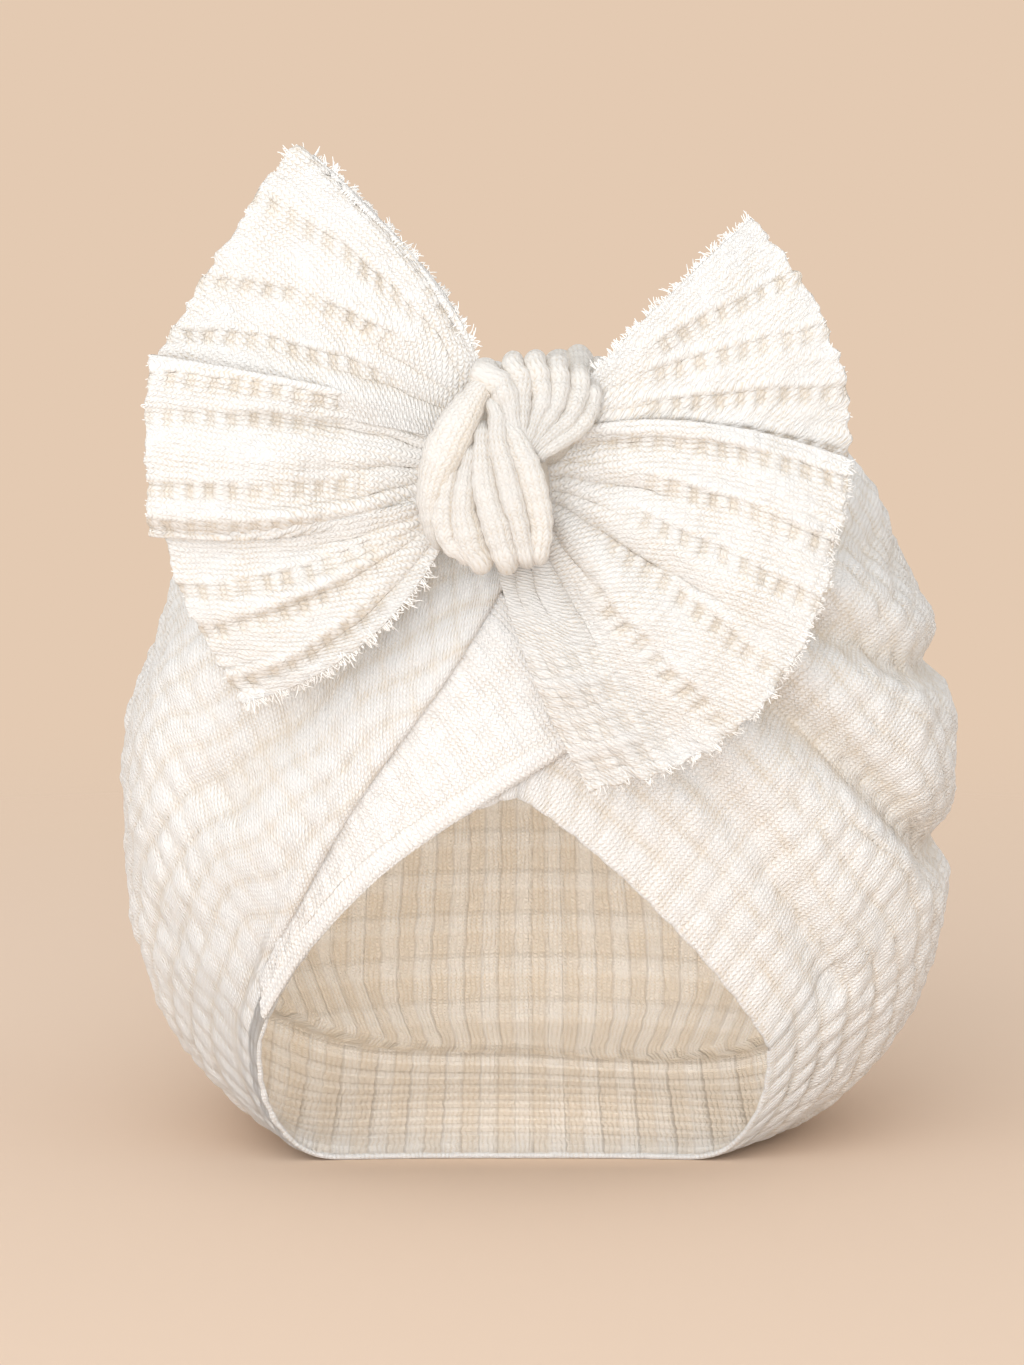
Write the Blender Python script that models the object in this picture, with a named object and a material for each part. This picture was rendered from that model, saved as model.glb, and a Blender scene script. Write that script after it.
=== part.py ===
"""Baby turban hat in waffle knit, with crossed front panels and a knotted bow.

The hat stands on its nape edge, as it does on a table, with its opening towards -Y.
X runs to the right as seen from the front, Y into the hat and Z up. The origin is on
the floor under the widest section. Lengths are in metres.
"""

import math

import bmesh
import bpy
import numpy as np
from mathutils import Vector
from mathutils.bvhtree import BVHTree

MM = 0.001

# Driving sizes of the cap
HAT_WIDTH = 150.5 * MM
HAT_HEIGHT = 143.5 * MM
HAT_DEPTH = 139.5 * MM
OPENING_WIDTH = 90.5 * MM
OPENING_HEIGHT = 69.0 * MM
CAP_WALL = 2.2 * MM
FLOOR_ROUNDING = 3.0 * MM

# Driving sizes of the hem band that crosses the front
BAND_WALL = 1.8 * MM

# Driving sizes of the left panel's edge, which laps over that band
LAP_RISE = 3.4 * MM
LAP_ROLL = 4.0 * MM
LAP_SPREAD = 25.5 * MM

# Driving sizes of the knot
KNOT_X = -6.5 * MM
KNOT_DROP = 19.0 * MM
WRAP_WIDTH = 15.5 * MM
WRAP_DEPTH = 24.0 * MM
WRAP_HEIGHT = 28.0 * MM
WRAP_RIB = 0.8 * MM
STRAP_WIDTH = 8.0 * MM
STRAP_DEPTH = 16.0 * MM
TOP_WIDTH = 20.0 * MM
TOP_DEPTH = 21.0 * MM
TOP_HEIGHT = 15.0 * MM
TOP_RIB = 0.8 * MM
BACK_WIDTH = 10.5 * MM
BACK_DEPTH = 19.0 * MM
BACK_HEIGHT = 17.0 * MM

# Driving sizes of the bow
TAIL_REACH = 60.5 * MM
TAIL_WALL = 2.2 * MM
TAIL_LAYER = 6.0 * MM
TAIL_GATHER = 1.3 * MM
TAIL_BILLOW = 3.0 * MM
FAN_RISE = 2.5 * MM
LEFT_PLANE = 2.0 * MM
RIGHT_PLANE = 1.0 * MM

# Clearances
SEAT_GAP = 0.5 * MM
LAY_GAP = 0.7 * MM

# Mesh density
CAP_COLUMNS = 76
CAP_ROWS = (5, 4, 4, 3, 2, 2, 2)
TAIL_ROWS = 8
TAIL_COLUMNS = 32
SEEK_STEP = 0.006

# Sections of the cap from the opening to the back. y_low and y_high are the places of a
# section's lowest and highest point, as shares of HAT_DEPTH. low, high and wide are the
# heights of its bottom, top and widest level, and left, right and mid are its sides and
# its middle. They are shares of the opening's height and half width in the first row,
# and of the hat's in the others. The three powers round the corners: 2 is an ellipse.
SECTION_COLUMNS = (
    "y_low", "y_high", "low", "high", "wide", "left", "right", "mid",
    "corner", "shoulder_left", "shoulder_right",
)
SECTIONS = {
    "rim": (-0.330, -0.484, -0.09, 1.00, 0.32, -1.105, 0.895, -0.095, 2.6, 1.42, 1.17),
    "front": (-0.290, -0.480, -0.03, 0.70, 0.28, -0.824, 0.744, -0.03, 2.6, 1.80, 1.75),
    "shoulder": (-0.180, -0.425, -0.035, 0.925, 0.40, -0.957, 0.930, 0.0, 2.7, 2.0, 2.1),
    "widest": (-0.014, -0.100, -0.035, 1.00, 0.465, -1.000, 1.000, 0.0, 2.7, 2.0, 2.3),
    "back": (0.172, 0.180, 0.000, 0.970, 0.50, -0.957, 0.944, 0.0, 2.4, 2.0, 2.1),
    "rear": (0.330, 0.373, 0.084, 0.843, 0.515, -0.777, 0.764, 0.0, 2.0, 2.0, 2.0),
    "nape": (0.452, 0.466, 0.251, 0.697, 0.505, -0.470, 0.460, 0.0, 2.0, 2.0, 2.0),
    "pole": (0.516, 0.516, 0.500, 0.500, 0.500, 0.0, 0.0, 0.0, 2.0, 2.0, 2.0),
}

# The edge of the left front panel, where it laps over the hem band: places across and up
# the front, as shares of the opening's half width and height. It fades in over a share of
# the hat's height above its first place, and out over a share of the depth behind the front.
LAP_EDGE = ((-1.098, 0.447), (-0.981, 0.645), (-0.823, 0.853),
            (-0.615, 1.081), (-0.391, 1.269), (-0.150, 1.529))
LAP_FADE_UP = 0.10
LAP_FADE_BACK = (-0.26, -0.06)
FLOOR_FADE = 0.05

# Valleys in the cap seen from the front: start, middle and end as shares of the hat's half
# width and height, and width and depth as shares of its width.
VALLEY_COLUMNS = ("x1", "z1", "x2", "z2", "x3", "z3", "width", "depth")
VALLEYS = {
    "right_upper": (0.50, 0.830, 0.80, 0.770, 1.00, 0.690, 0.042, 0.016),
    "right_middle": (0.40, 0.735, 0.80, 0.645, 1.02, 0.590, 0.040, 0.022),
    "right_lower": (0.30, 0.680, 0.74, 0.500, 0.97, 0.370, 0.045, 0.026),
    "right_hem": (0.22, 0.600, 0.52, 0.400, 0.68, 0.235, 0.036, 0.010),
    "left_tuck": (-0.20, 0.790, -0.48, 0.640, -0.72, 0.470, 0.050, 0.024),
    "left_side": (-0.55, 0.900, -0.86, 0.690, -1.02, 0.600, 0.045, 0.016),
}
VALLEY_FADE = (0.10, 0.45)

# The hem band's two edges, from the left corner of the opening, over the crossing and up
# beside the knot, as shares of the opening's half width and height.
BAND_COLUMNS = ("lower_x", "lower_z", "upper_x", "upper_z")
BAND = {
    "corner": (-1.078, 0.395, -1.084, 0.482),
    "side": (-0.918, 0.572, -0.948, 0.661),
    "rise": (-0.657, 0.765, -0.757, 0.869),
    "shoulder": (-0.416, 0.894, -0.549, 1.077),
    "crossing": (-0.116, 1.027, -0.333, 1.264),
    "over_right": (0.125, 1.133, -0.200, 1.389),
    "under_tail": (0.266, 1.227, -0.083, 1.466),
}

# Each tail is a fan about the knot. A row is a line from the knot to the tail's outer end:
# angle is where it ends, in degrees from +X towards +Z, bend the turn that it makes on the
# way, reach its length as a share of TAIL_REACH, and forward its place as a share of
# TAIL_LAYER in front of the tail's middle plane.
TAIL_COLUMNS_OF_ROW = ("angle", "bend", "reach", "forward")
LEFT_TAIL = {
    "raw_top_edge": (120.5, -24.0, 1.00, -0.10),
    "tip": (125.0, -18.0, 1.07, 0.00),
    "upper_outer": (138.0, -8.0, 1.03, 0.10),
    "upper_middle": (150.0, -3.0, 1.02, 0.10),
    "upper_fold": (159.5, 0.0, 1.01, 0.00),
    "middle_top": (164.0, 0.0, 1.04, 0.95),
    "middle": (176.0, 0.0, 1.01, 1.10),
    "middle_low": (188.0, 2.0, 1.02, 0.95),
    "lower_fold": (192.5, 4.0, 1.00, -0.05),
    "lower_middle": (207.0, 7.0, 0.99, 0.10),
    "corner": (221.5, 9.0, 1.03, 0.05),
    "raw_low_edge": (225.5, 9.0, 0.98, 0.00),
}
RIGHT_TAIL = {
    "raw_top_edge": (44.5, 3.0, 1.01, -0.20),
    "upper_outer": (33.0, 2.0, 1.01, 0.00),
    "upper_middle": (20.0, 1.0, 1.01, 0.10),
    "upper_fold": (4.5, 0.0, 1.01, 0.00),
    "lower_top": (0.0, 0.0, 0.985, 0.75),
    "lower_outer": (-13.0, -1.0, 0.985, 1.00),
    "lower_middle": (-28.0, -3.0, 0.985, 1.00),
    "lower_corner": (-45.0, -7.0, 0.985, 0.80),
    "flap": (-60.0, -13.0, 0.99, 0.70),
    "raw_low_edge": (-73.0, -21.0, 1.00, 0.45),
}
LEFT_GATHERS = 7
RIGHT_GATHERS = 9

# The strap round the knot's left side: angle about the wrap in degrees, and its width,
# depth and place forward as shares of STRAP_WIDTH, STRAP_DEPTH and STRAP_DEPTH.
STRAP_COLUMNS = ("angle", "width", "depth", "forward")
STRAP = {
    "top_end": (112.0, 0.50, 0.45, 0.10),
    "top": (122.0, 0.90, 0.85, 0.12),
    "upper": (140.0, 1.00, 1.00, 0.15),
    "middle": (164.0, 1.00, 1.00, 0.12),
    "lower": (190.0, 0.90, 0.95, 0.08),
    "low": (214.0, 0.75, 0.85, 0.02),
    "low_end": (232.0, 0.35, 0.45, 0.0),
}


def clear_scene():
    for obj in list(bpy.data.objects):
        bpy.data.objects.remove(obj, do_unlink=True)


def cloth_material(name, colour, roughness=0.95):
    material = bpy.data.materials.new(name)
    material.use_nodes = True
    shader = material.node_tree.nodes["Principled BSDF"]
    shader.inputs["Base Color"].default_value = (*colour, 1.0)
    shader.inputs["Roughness"].default_value = roughness
    shader.inputs["Metallic"].default_value = 0.0
    shader.inputs["Sheen Weight"].default_value = 0.3
    return material


def column(table, columns, name):
    """One named column of a table, from its first row to its last."""
    return np.array([row[columns.index(name)] for row in table.values()], float)


def through(points, places):
    """Places along a smooth curve through the points; a whole number is at a point."""
    points = np.asarray(points, float)
    ends = np.concatenate([[2 * points[0] - points[1]], points,
                           [2 * points[-1] - points[-2]]])
    places = np.clip(np.asarray(places, float), 0.0, len(points) - 1.0)
    first = np.minimum(places.astype(int), len(points) - 2)
    share = (places - first).reshape(places.shape + (1,) * (points.ndim - 1))
    a, b, c, d = (ends[first + step] for step in range(4))
    return 0.5 * (2 * b + (c - a) * share + (2 * a - 5 * b + 4 * c - d) * share**2
                  + (3 * b - a - 3 * c + d) * share**3)


def smooth_step(value):
    value = np.clip(value, 0.0, 1.0)
    return value * value * (3.0 - 2.0 * value)


def distance_to_curve(x, z, curve):
    """Distance of front-view points from a curve, and on which side of it they lie."""
    best = np.full(x.shape, np.inf)
    side = np.zeros(x.shape)
    for (ax, az), (bx, bz) in zip(curve[:-1], curve[1:]):
        along = ((x - ax) * (bx - ax) + (z - az) * (bz - az)) / ((bx - ax)**2 + (bz - az)**2)
        along = np.clip(along, 0.0, 1.0)
        dx, dz = x - ax - along * (bx - ax), z - az - along * (bz - az)
        away = np.hypot(dx, dz)
        nearer = away < best
        best = np.where(nearer, away, best)
        side = np.where(nearer, np.sign((bx - ax) * dz - (bz - az) * dx), side)
    return best, side


def rounded(value, power):
    return np.sign(value) * np.abs(value)**(2.0 / power)


def section_points(name, turn):
    """The points of one section of the cap at the given turns round the opening."""
    row = dict(zip(SECTION_COLUMNS, SECTIONS[name]))
    wide = (OPENING_WIDTH if name == "rim" else HAT_WIDTH) / 2
    tall = OPENING_HEIGHT if name == "rim" else HAT_HEIGHT
    across, up = np.cos(turn), np.sin(turn)
    shoulder = np.where(across < 0, row["shoulder_left"], row["shoulder_right"])
    power = np.where(up < 0, row["corner"], shoulder)
    side = np.where(across < 0, row["mid"] - row["left"], row["right"] - row["mid"])
    x = wide * (row["mid"] + side * rounded(across, power))
    height = np.where(up < 0, row["wide"] - row["low"], row["high"] - row["wide"])
    z = tall * (row["wide"] + height * rounded(up, power))
    level = (z / tall - row["low"]) / max(row["high"] - row["low"], 1e-6)
    y = HAT_DEPTH * (row["y_low"] + (row["y_high"] - row["y_low"]) * level)
    return np.stack([x, y, z], axis=-1)


def cap_form(turn, place):
    """The cap's middle surface before its folds: turn round the opening, place from 0 at
    the rim to 7 at the back, and a little below 0 inside the opening."""
    rings = [section_points(name, turn) for name in SECTIONS]
    pole, before = rings[-1], rings[-2]
    beyond = np.stack([2 * pole[..., 0] - before[..., 0], before[..., 1],
                       2 * pole[..., 2] - before[..., 2]], axis=-1)
    inside = 2 * rings[0] - rings[1]
    rings = np.stack([inside, *rings, beyond])
    last = len(SECTIONS) - 1
    held = np.clip(place, 0.0, last)
    first = np.minimum(held.astype(int), last - 1)
    share = (held - first)[..., None]
    index = np.indices(turn.shape)
    a, b, c, d = (rings[(first + step, *index)] for step in range(4))
    point = 0.5 * (2 * b + (c - a) * share + (2 * a - 5 * b + 4 * c - d) * share**2
                   + (3 * b - a - 3 * c + d) * share**3)
    slope = 0.5 * (rings[(np.full(turn.shape, 2), *index)] - rings[(np.zeros(turn.shape, int), *index)])
    point = point + slope * np.minimum(place, 0.0)[..., None]
    floor = CAP_WALL / 2
    lift = point[..., 2] - floor
    soft = np.where(lift < -FLOOR_ROUNDING, 0.0,
                    np.where(lift < FLOOR_ROUNDING,
                             (lift + FLOOR_ROUNDING)**2 / (4 * FLOOR_ROUNDING), lift))
    point[..., 2] = floor + soft
    return point


def fold_height(point):
    """How far the folds move the cap's middle surface outwards at each point."""
    x, y, z = point[..., 0], point[..., 1], point[..., 2]
    half = HAT_WIDTH / 2
    fade_from, fade_to = (share * HAT_DEPTH for share in VALLEY_FADE)
    in_front = 1.0 - smooth_step((y - fade_from) / (fade_to - fade_from))
    height = np.zeros(x.shape)
    for values in VALLEYS.values():
        row = dict(zip(VALLEY_COLUMNS, values))
        ends = [(row["x%d" % n] * half, row["z%d" % n] * HAT_HEIGHT) for n in (1, 2, 3)]
        curve = through(ends, np.linspace(0, 2, 9))
        across = distance_to_curve(x, z, curve)[0] / (row["width"] * HAT_WIDTH)
        height -= row["depth"] * HAT_WIDTH * np.exp(-across**2) * in_front
    edge = [(ex * OPENING_WIDTH / 2, ez * OPENING_HEIGHT) for ex, ez in LAP_EDGE]
    away, side = distance_to_curve(x, z, through(edge, np.linspace(0, len(edge) - 1, 21)))
    beyond = away * side
    from_y, to_y = (share * HAT_DEPTH for share in LAP_FADE_BACK)
    in_face = 1.0 - smooth_step((y - from_y) / (to_y - from_y))
    above_rim = smooth_step((z - edge[0][1]) / (LAP_FADE_UP * HAT_HEIGHT))
    spread = np.exp(-(np.maximum(beyond, 0) / LAP_SPREAD)**2)
    height += LAP_RISE * smooth_step(beyond / LAP_ROLL + 0.5) * in_face * above_rim * spread
    return height * smooth_step((z - CAP_WALL / 2) / (FLOOR_FADE * HAT_HEIGHT))


def outward(turn, place, form):
    """Unit normals of a surface by small steps along both of its directions."""
    step = 1e-3
    along = form(turn + step, place) - form(turn - step, place)
    back = form(turn, place + step) - form(turn, place - step)
    normal = np.cross(back, along)
    return normal / np.maximum(np.linalg.norm(normal, axis=-1, keepdims=True), 1e-12)


def cap_middle(turn, place):
    """The cap's middle surface with its folds."""
    point = cap_form(turn, place)
    normal = outward(turn, np.minimum(place, len(SECTIONS) - 1.02), cap_form)
    return point + normal * fold_height(point)[..., None]


def cap_grid(first_place=0.0):
    """Turns and places of the cap's mesh points, closest together at the front."""
    places = [np.linspace(n, n + 1, rows, endpoint=False) for n, rows in enumerate(CAP_ROWS)]
    places = np.concatenate([*places, [len(CAP_ROWS) - 1e-4]])
    if first_place < 0:
        places = np.concatenate([[first_place], places])
    turns = np.linspace(0, 2 * math.pi, CAP_COLUMNS, endpoint=False)
    return np.meshgrid(turns, places)


def mesh_object(name, points, faces, material):
    mesh = bpy.data.meshes.new(name)
    shape = bmesh.new()
    verts = [shape.verts.new(point) for point in points]
    for face in faces:
        shape.faces.new([verts[index] for index in face])
    bmesh.ops.remove_doubles(shape, verts=shape.verts, dist=1e-6)
    bmesh.ops.recalc_face_normals(shape, faces=shape.faces)
    shape.to_mesh(mesh)
    shape.free()
    mesh.shade_smooth()
    obj = bpy.data.objects.new(name, mesh)
    obj.data.materials.append(material)
    bpy.context.collection.objects.link(obj)
    return obj


def grid_faces(rows, columns, around, start=0):
    faces = []
    for row in range(rows - 1):
        for col in range(columns if around else columns - 1):
            right = (col + 1) % columns
            faces.append((start + row * columns + col, start + row * columns + right,
                          start + (row + 1) * columns + right, start + (row + 1) * columns + col))
    return faces


def cloth_solid(name, outer, inner, material, around=False):
    """A sheet of cloth between two grids, with a strip along each of its open edges. A
    grid that goes around is open at its first row and closed to a point at its last."""
    rows, columns = outer.shape[:2]
    count = rows * columns
    faces = grid_faces(rows, columns, around)
    faces += [face[::-1] for face in grid_faces(rows, columns, around, count)]
    edge = list(range(columns))
    if not around:
        edge += [row * columns + columns - 1 for row in range(1, rows)]
        edge += [(rows - 1) * columns + col for col in range(columns - 2, -1, -1)]
        edge += [row * columns for row in range(rows - 2, 0, -1)]
    for here, there in zip(edge, edge[1:] + edge[:1]):
        faces.append((here, there, there + count, here + count))
    points = np.concatenate([outer.reshape(-1, 3), inner.reshape(-1, 3)])
    return mesh_object(name, points, faces, material)


def lump(name, grid, material):
    """A closed body whose grid goes around, with a point at its first and last row."""
    rows, columns = grid.shape[:2]
    return mesh_object(name, grid.reshape(-1, 3), grid_faces(rows, columns, True), material)


def tree_of(objects):
    points, faces = [], []
    for obj in objects:
        start = len(points)
        points += [obj.matrix_world @ vertex.co for vertex in obj.data.vertices]
        faces += [[start + index for index in polygon.vertices] for polygon in obj.data.polygons]
    return BVHTree.FromPolygons(points, faces)


def make_cap():
    turns, places = cap_grid()
    middle = cap_middle(turns, places)
    held = np.minimum(places, len(SECTIONS) - 1.02)
    normal = outward(turns, held, cap_middle)
    outer = middle + normal * CAP_WALL / 2
    inner = middle - normal * CAP_WALL / 2
    outer[-1], inner[-1] = outer[-1].mean(axis=0), inner[-1].mean(axis=0)
    return cloth_solid("cap", outer, inner, cloth_material("waffle_knit", (0.93, 0.90, 0.85)), True)


def front_form():
    """The cap's middle surface, run a little way into the opening, to lay the band on."""
    turns, places = cap_grid(-0.25)
    middle = cap_middle(turns, places)
    rows, columns = middle.shape[:2]
    return BVHTree.FromPolygons([Vector(p) for p in middle.reshape(-1, 3)],
                                grid_faces(rows, columns, True))


def from_front(tree, x, z):
    """Where a line along +Y from in front of the hat first meets the surface."""
    return tree.ray_cast(Vector((x, -HAT_DEPTH, z)), Vector((0, 1, 0)))


def lay_on_front(tree, x, z, lift):
    hit, normal = from_front(tree, x, z)[:2]
    if normal.y > 0:
        normal = -normal
    return hit + normal * lift


def make_hem_band(form):
    half = OPENING_WIDTH / 2
    stations = np.linspace(0, len(BAND) - 1, 19)
    lower = through(np.stack([column(BAND, BAND_COLUMNS, "lower_x") * half,
                              column(BAND, BAND_COLUMNS, "lower_z") * OPENING_HEIGHT], 1), stations)
    upper = through(np.stack([column(BAND, BAND_COLUMNS, "upper_x") * half,
                              column(BAND, BAND_COLUMNS, "upper_z") * OPENING_HEIGHT], 1), stations)
    middle_lift = CAP_WALL / 2 + LAY_GAP + BAND_WALL / 2
    grids = []
    for lift in (middle_lift + BAND_WALL / 2, middle_lift - BAND_WALL / 2):
        grids.append(np.array([[lay_on_front(form, *(low + (high - low) * share), lift)
                                for low, high in zip(lower, upper)]
                               for share in np.linspace(0, 1, 5)]))
    return cloth_solid("left_hem_band", *grids,
                       cloth_material("hem_band_knit", (0.91, 0.87, 0.81)))


def ellipsoid(centre, size, rows, columns, axis, power=2.0):
    """A grid round a rounded box: its rows run along one axis, 0 for X or 2 for Z."""
    along = np.linspace(-math.pi / 2, math.pi / 2, rows)[:, None]
    turn = np.linspace(0, 2 * math.pi, columns, endpoint=False)[None, :]
    end = rounded(np.sin(along), power) * np.ones_like(turn)
    wide = rounded(np.cos(along), power)
    one, two = wide * rounded(np.cos(turn), power), wide * rounded(np.sin(turn), power)
    unit = np.stack([end, one, two] if axis == 0 else [one, two, end], axis=-1)
    return unit, np.asarray(centre) + unit * np.asarray(size) / 2


def wrap_outline(angle):
    """Distance from the wrap's middle to its side in the front view, at an angle."""
    return 1 / math.hypot(math.cos(angle) / (WRAP_WIDTH / 2), math.sin(angle) / (WRAP_HEIGHT / 2))


def seat_on_front(grid, tree, gap):
    """Flattens what would reach into the cap or the band against their front."""
    flat = grid.reshape(-1, 3)
    for point in flat:
        hit, normal = from_front(tree, point[0], point[2])[:2]
        if hit is not None:
            point[1] = min(point[1], hit.y - gap / max(abs(normal.y), 0.5))
    return flat.reshape(grid.shape)


def knot_middle(front):
    height = HAT_HEIGHT - KNOT_DROP
    hit = from_front(front, KNOT_X, height)[0]
    return Vector((KNOT_X, hit.y - SEAT_GAP - WRAP_DEPTH / 2, height))


def make_knot_wrap(front, middle):
    unit, grid = ellipsoid(middle, (WRAP_WIDTH, WRAP_DEPTH, WRAP_HEIGHT), 13, 30, 2)
    turn = np.arctan2(unit[..., 1], unit[..., 0]) + 0.5 * unit[..., 2]
    rib = WRAP_RIB * (np.abs(np.cos(5 * turn)) - 1.0) * (1 - unit[..., 2]**2)
    grid = grid + unit * rib[..., None]
    return lump("knot_wrap", seat_on_front(grid, front, SEAT_GAP),
                cloth_material("knot_knit", (0.89, 0.83, 0.75)))


def make_knot_strap(front, middle):
    places = np.linspace(0, len(STRAP) - 1, 15)
    rows = {name: through(column(STRAP, STRAP_COLUMNS, name), places) for name in STRAP_COLUMNS}
    turns = np.linspace(0, 2 * math.pi, 12, endpoint=False)
    grid = []
    for place, angle in enumerate(np.radians(rows["angle"])):
        wide = rows["width"][place] * STRAP_WIDTH / 2
        deep = rows["depth"][place] * STRAP_DEPTH / 2
        middle_out = wrap_outline(angle) + SEAT_GAP + STRAP_WIDTH / 2 * max(rows["width"][place], 0.6)
        if place in (0, len(places) - 1):
            wide = deep = 0.0
        out = middle_out + wide * np.cos(turns)
        y = middle.y - rows["forward"][place] * STRAP_DEPTH + deep * np.sin(turns)
        grid.append(np.stack([middle.x + out * math.cos(angle), y,
                              middle.z + out * math.sin(angle)], axis=-1))
    return lump("knot_strap", seat_on_front(np.array(grid), front, SEAT_GAP),
                cloth_material("strap_knit", (0.93, 0.90, 0.85)))


def clear_of_wrap(grid, middle, gap):
    """Moves points that reach into the wrap out to its side, with a gap."""
    size = np.array([WRAP_WIDTH, WRAP_DEPTH, WRAP_HEIGHT]) / 2 + gap
    offset = (grid - np.array(middle)) / size
    reach = np.linalg.norm(offset, axis=-1, keepdims=True)
    return np.array(middle) + offset * size * np.maximum(1.0, 1.0 / np.maximum(reach, 1e-6))


def make_top_fold(front, middle):
    centre = (middle.x + 0.25 * TOP_WIDTH, middle.y + 0.03 * TOP_DEPTH,
              middle.z + WRAP_HEIGHT / 2 + 0.08 * TOP_HEIGHT)
    unit, grid = ellipsoid(centre, (TOP_WIDTH, TOP_DEPTH, TOP_HEIGHT), 21, 16, 0, 2.3)
    rib = TOP_RIB * (np.abs(np.cos(2.5 * math.pi * unit[..., 0])) - 0.5) * (1 - unit[..., 0]**2)
    grid = grid + unit * rib[..., None] * np.array((0, 1, 1))
    grid = clear_of_wrap(grid, middle, SEAT_GAP + WRAP_RIB)
    return lump("knot_top_fold", seat_on_front(grid, front, SEAT_GAP),
                cloth_material("top_fold_knit", (0.92, 0.89, 0.84)))


def seat_on_crown(grid, tree, gap):
    """Lifts what would reach into the crown up onto it."""
    flat = grid.reshape(-1, 3)
    for point in flat:
        above = Vector((point[0], point[1], 2 * HAT_HEIGHT))
        hit, normal = tree.ray_cast(above, Vector((0, 0, -1)))[:2]
        if hit is not None:
            point[2] = max(point[2], hit.z + gap / max(abs(normal.z), 0.4))
    return flat.reshape(grid.shape)


def make_back_fold(cap, middle):
    centre = (middle.x + 0.66 * TOP_WIDTH, middle.y + TOP_DEPTH / 2 + SEAT_GAP + 0.56 * BACK_DEPTH,
              middle.z + WRAP_HEIGHT / 2 + 0.05 * BACK_HEIGHT)
    unit, grid = ellipsoid(centre, (BACK_WIDTH, BACK_DEPTH, BACK_HEIGHT), 11, 12, 2)
    return lump("knot_back_fold", seat_on_crown(grid, cap, SEAT_GAP),
                cloth_material("back_fold_knit", (0.88, 0.85, 0.81)))


def tail_point(row, share, middle, plane, gather, away):
    """A point of a tail: row holds the fan's values there, share runs from 0 at the
    knot's middle to 1 at the outer end."""
    angle = math.radians(row["angle"] + row["bend"] * (1 - share)**1.3)
    out = share * row["reach"] * TAIL_REACH
    layer = TAIL_LAYER * row["forward"] * share**1.5
    billow = TAIL_BILLOW * math.sin(math.pi * min(share, 1.0))
    ripple = TAIL_GATHER * gather * math.sin(math.pi * min(share, 1.0)**0.6)
    return Vector((middle.x + out * math.cos(angle), plane - layer - billow - ripple + away,
                   middle.z + out * math.sin(angle)))


def make_tail(name, table, gathers, knot, middle, plane):
    """A fan of cloth from the knot, as deep as its wall everywhere."""
    stations = np.linspace(0, len(table) - 1, TAIL_COLUMNS)
    values = {key: through(column(table, TAIL_COLUMNS_OF_ROW, key), stations)
              for key in TAIL_COLUMNS_OF_ROW}
    tree = tree_of(knot)
    front, back = [], []
    for station in range(TAIL_COLUMNS):
        row = {key: values[key][station] for key in values}
        gather = math.cos(2 * math.pi * gathers * station / (TAIL_COLUMNS - 1))
        start = 0.70
        while start > 0.1:
            near = [tree.find_nearest(tail_point(row, start, middle, plane, gather, away))[3]
                    for away in (-TAIL_WALL / 2, 0.0, TAIL_WALL / 2)]
            if min(near) < SEAT_GAP:
                break
            start -= SEEK_STEP
        start += SEEK_STEP
        shares = start + (1 - start) * np.linspace(0, 1, TAIL_ROWS)
        front.append([tail_point(row, share, middle, plane, gather, -TAIL_WALL / 2) for share in shares])
        back.append([tail_point(row, share, middle, plane, gather, TAIL_WALL / 2) for share in shares])
    return cloth_solid(name, np.array(front), np.array(back),
                       cloth_material(name + "_knit", (0.94, 0.92, 0.88)))


def main():
    clear_scene()
    cap = make_cap()
    form = front_form()
    band = make_hem_band(form)
    front = tree_of([cap, band])
    middle = knot_middle(front)
    wrap = make_knot_wrap(front, middle)
    strap = make_knot_strap(front, middle)
    top = make_top_fold(front, middle)
    back = make_back_fold(tree_of([cap]), middle)
    knot = [wrap, strap, top, back]
    fan_middle = Vector((middle.x, middle.y, middle.z + FAN_RISE))
    make_tail("left_bow_tail", LEFT_TAIL, LEFT_GATHERS, knot, fan_middle, middle.y + LEFT_PLANE)
    make_tail("right_bow_tail", RIGHT_TAIL, RIGHT_GATHERS, knot, fan_middle, middle.y + RIGHT_PLANE)


main()
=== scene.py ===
# %% [markdown]
# # A baby turban hat in waffle knit
#
# This lesson dresses a plain model of a baby's turban hat. The plain model says where each
# piece is: the cap, the hem band that crosses its front, a knot of four pieces and the two
# tails of the bow. All of them are cloth, so each gets a new sheet or padded piece with its
# folds, its waffle cells, its frayed edges and its knitted stitches.

import math

import bpy
import numpy as np
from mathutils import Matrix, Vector
from mathutils.bvhtree import BVHTree


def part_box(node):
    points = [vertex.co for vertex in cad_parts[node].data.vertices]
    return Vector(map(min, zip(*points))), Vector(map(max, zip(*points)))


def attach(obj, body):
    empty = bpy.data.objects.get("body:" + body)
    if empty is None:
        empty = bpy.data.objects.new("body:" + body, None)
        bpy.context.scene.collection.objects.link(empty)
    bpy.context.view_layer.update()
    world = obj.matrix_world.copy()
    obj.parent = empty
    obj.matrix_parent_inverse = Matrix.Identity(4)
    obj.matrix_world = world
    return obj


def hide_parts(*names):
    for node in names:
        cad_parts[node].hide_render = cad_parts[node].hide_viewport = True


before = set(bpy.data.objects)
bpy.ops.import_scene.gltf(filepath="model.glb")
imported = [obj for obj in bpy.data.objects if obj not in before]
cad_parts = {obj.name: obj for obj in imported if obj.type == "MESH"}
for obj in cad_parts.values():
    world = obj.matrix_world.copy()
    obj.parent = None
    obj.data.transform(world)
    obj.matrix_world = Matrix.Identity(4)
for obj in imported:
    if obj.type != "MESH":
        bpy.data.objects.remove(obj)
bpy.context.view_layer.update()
MM = 0.001
print("pieces of the plain model:", sorted(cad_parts))

# %% [markdown]
# ## The camera
#
# A product photo of a small hat is taken with a long lens from a little above the table, so
# that its sides look parallel. The camera is set by the point that it aims at, its distance
# and its height above the horizon.

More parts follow.
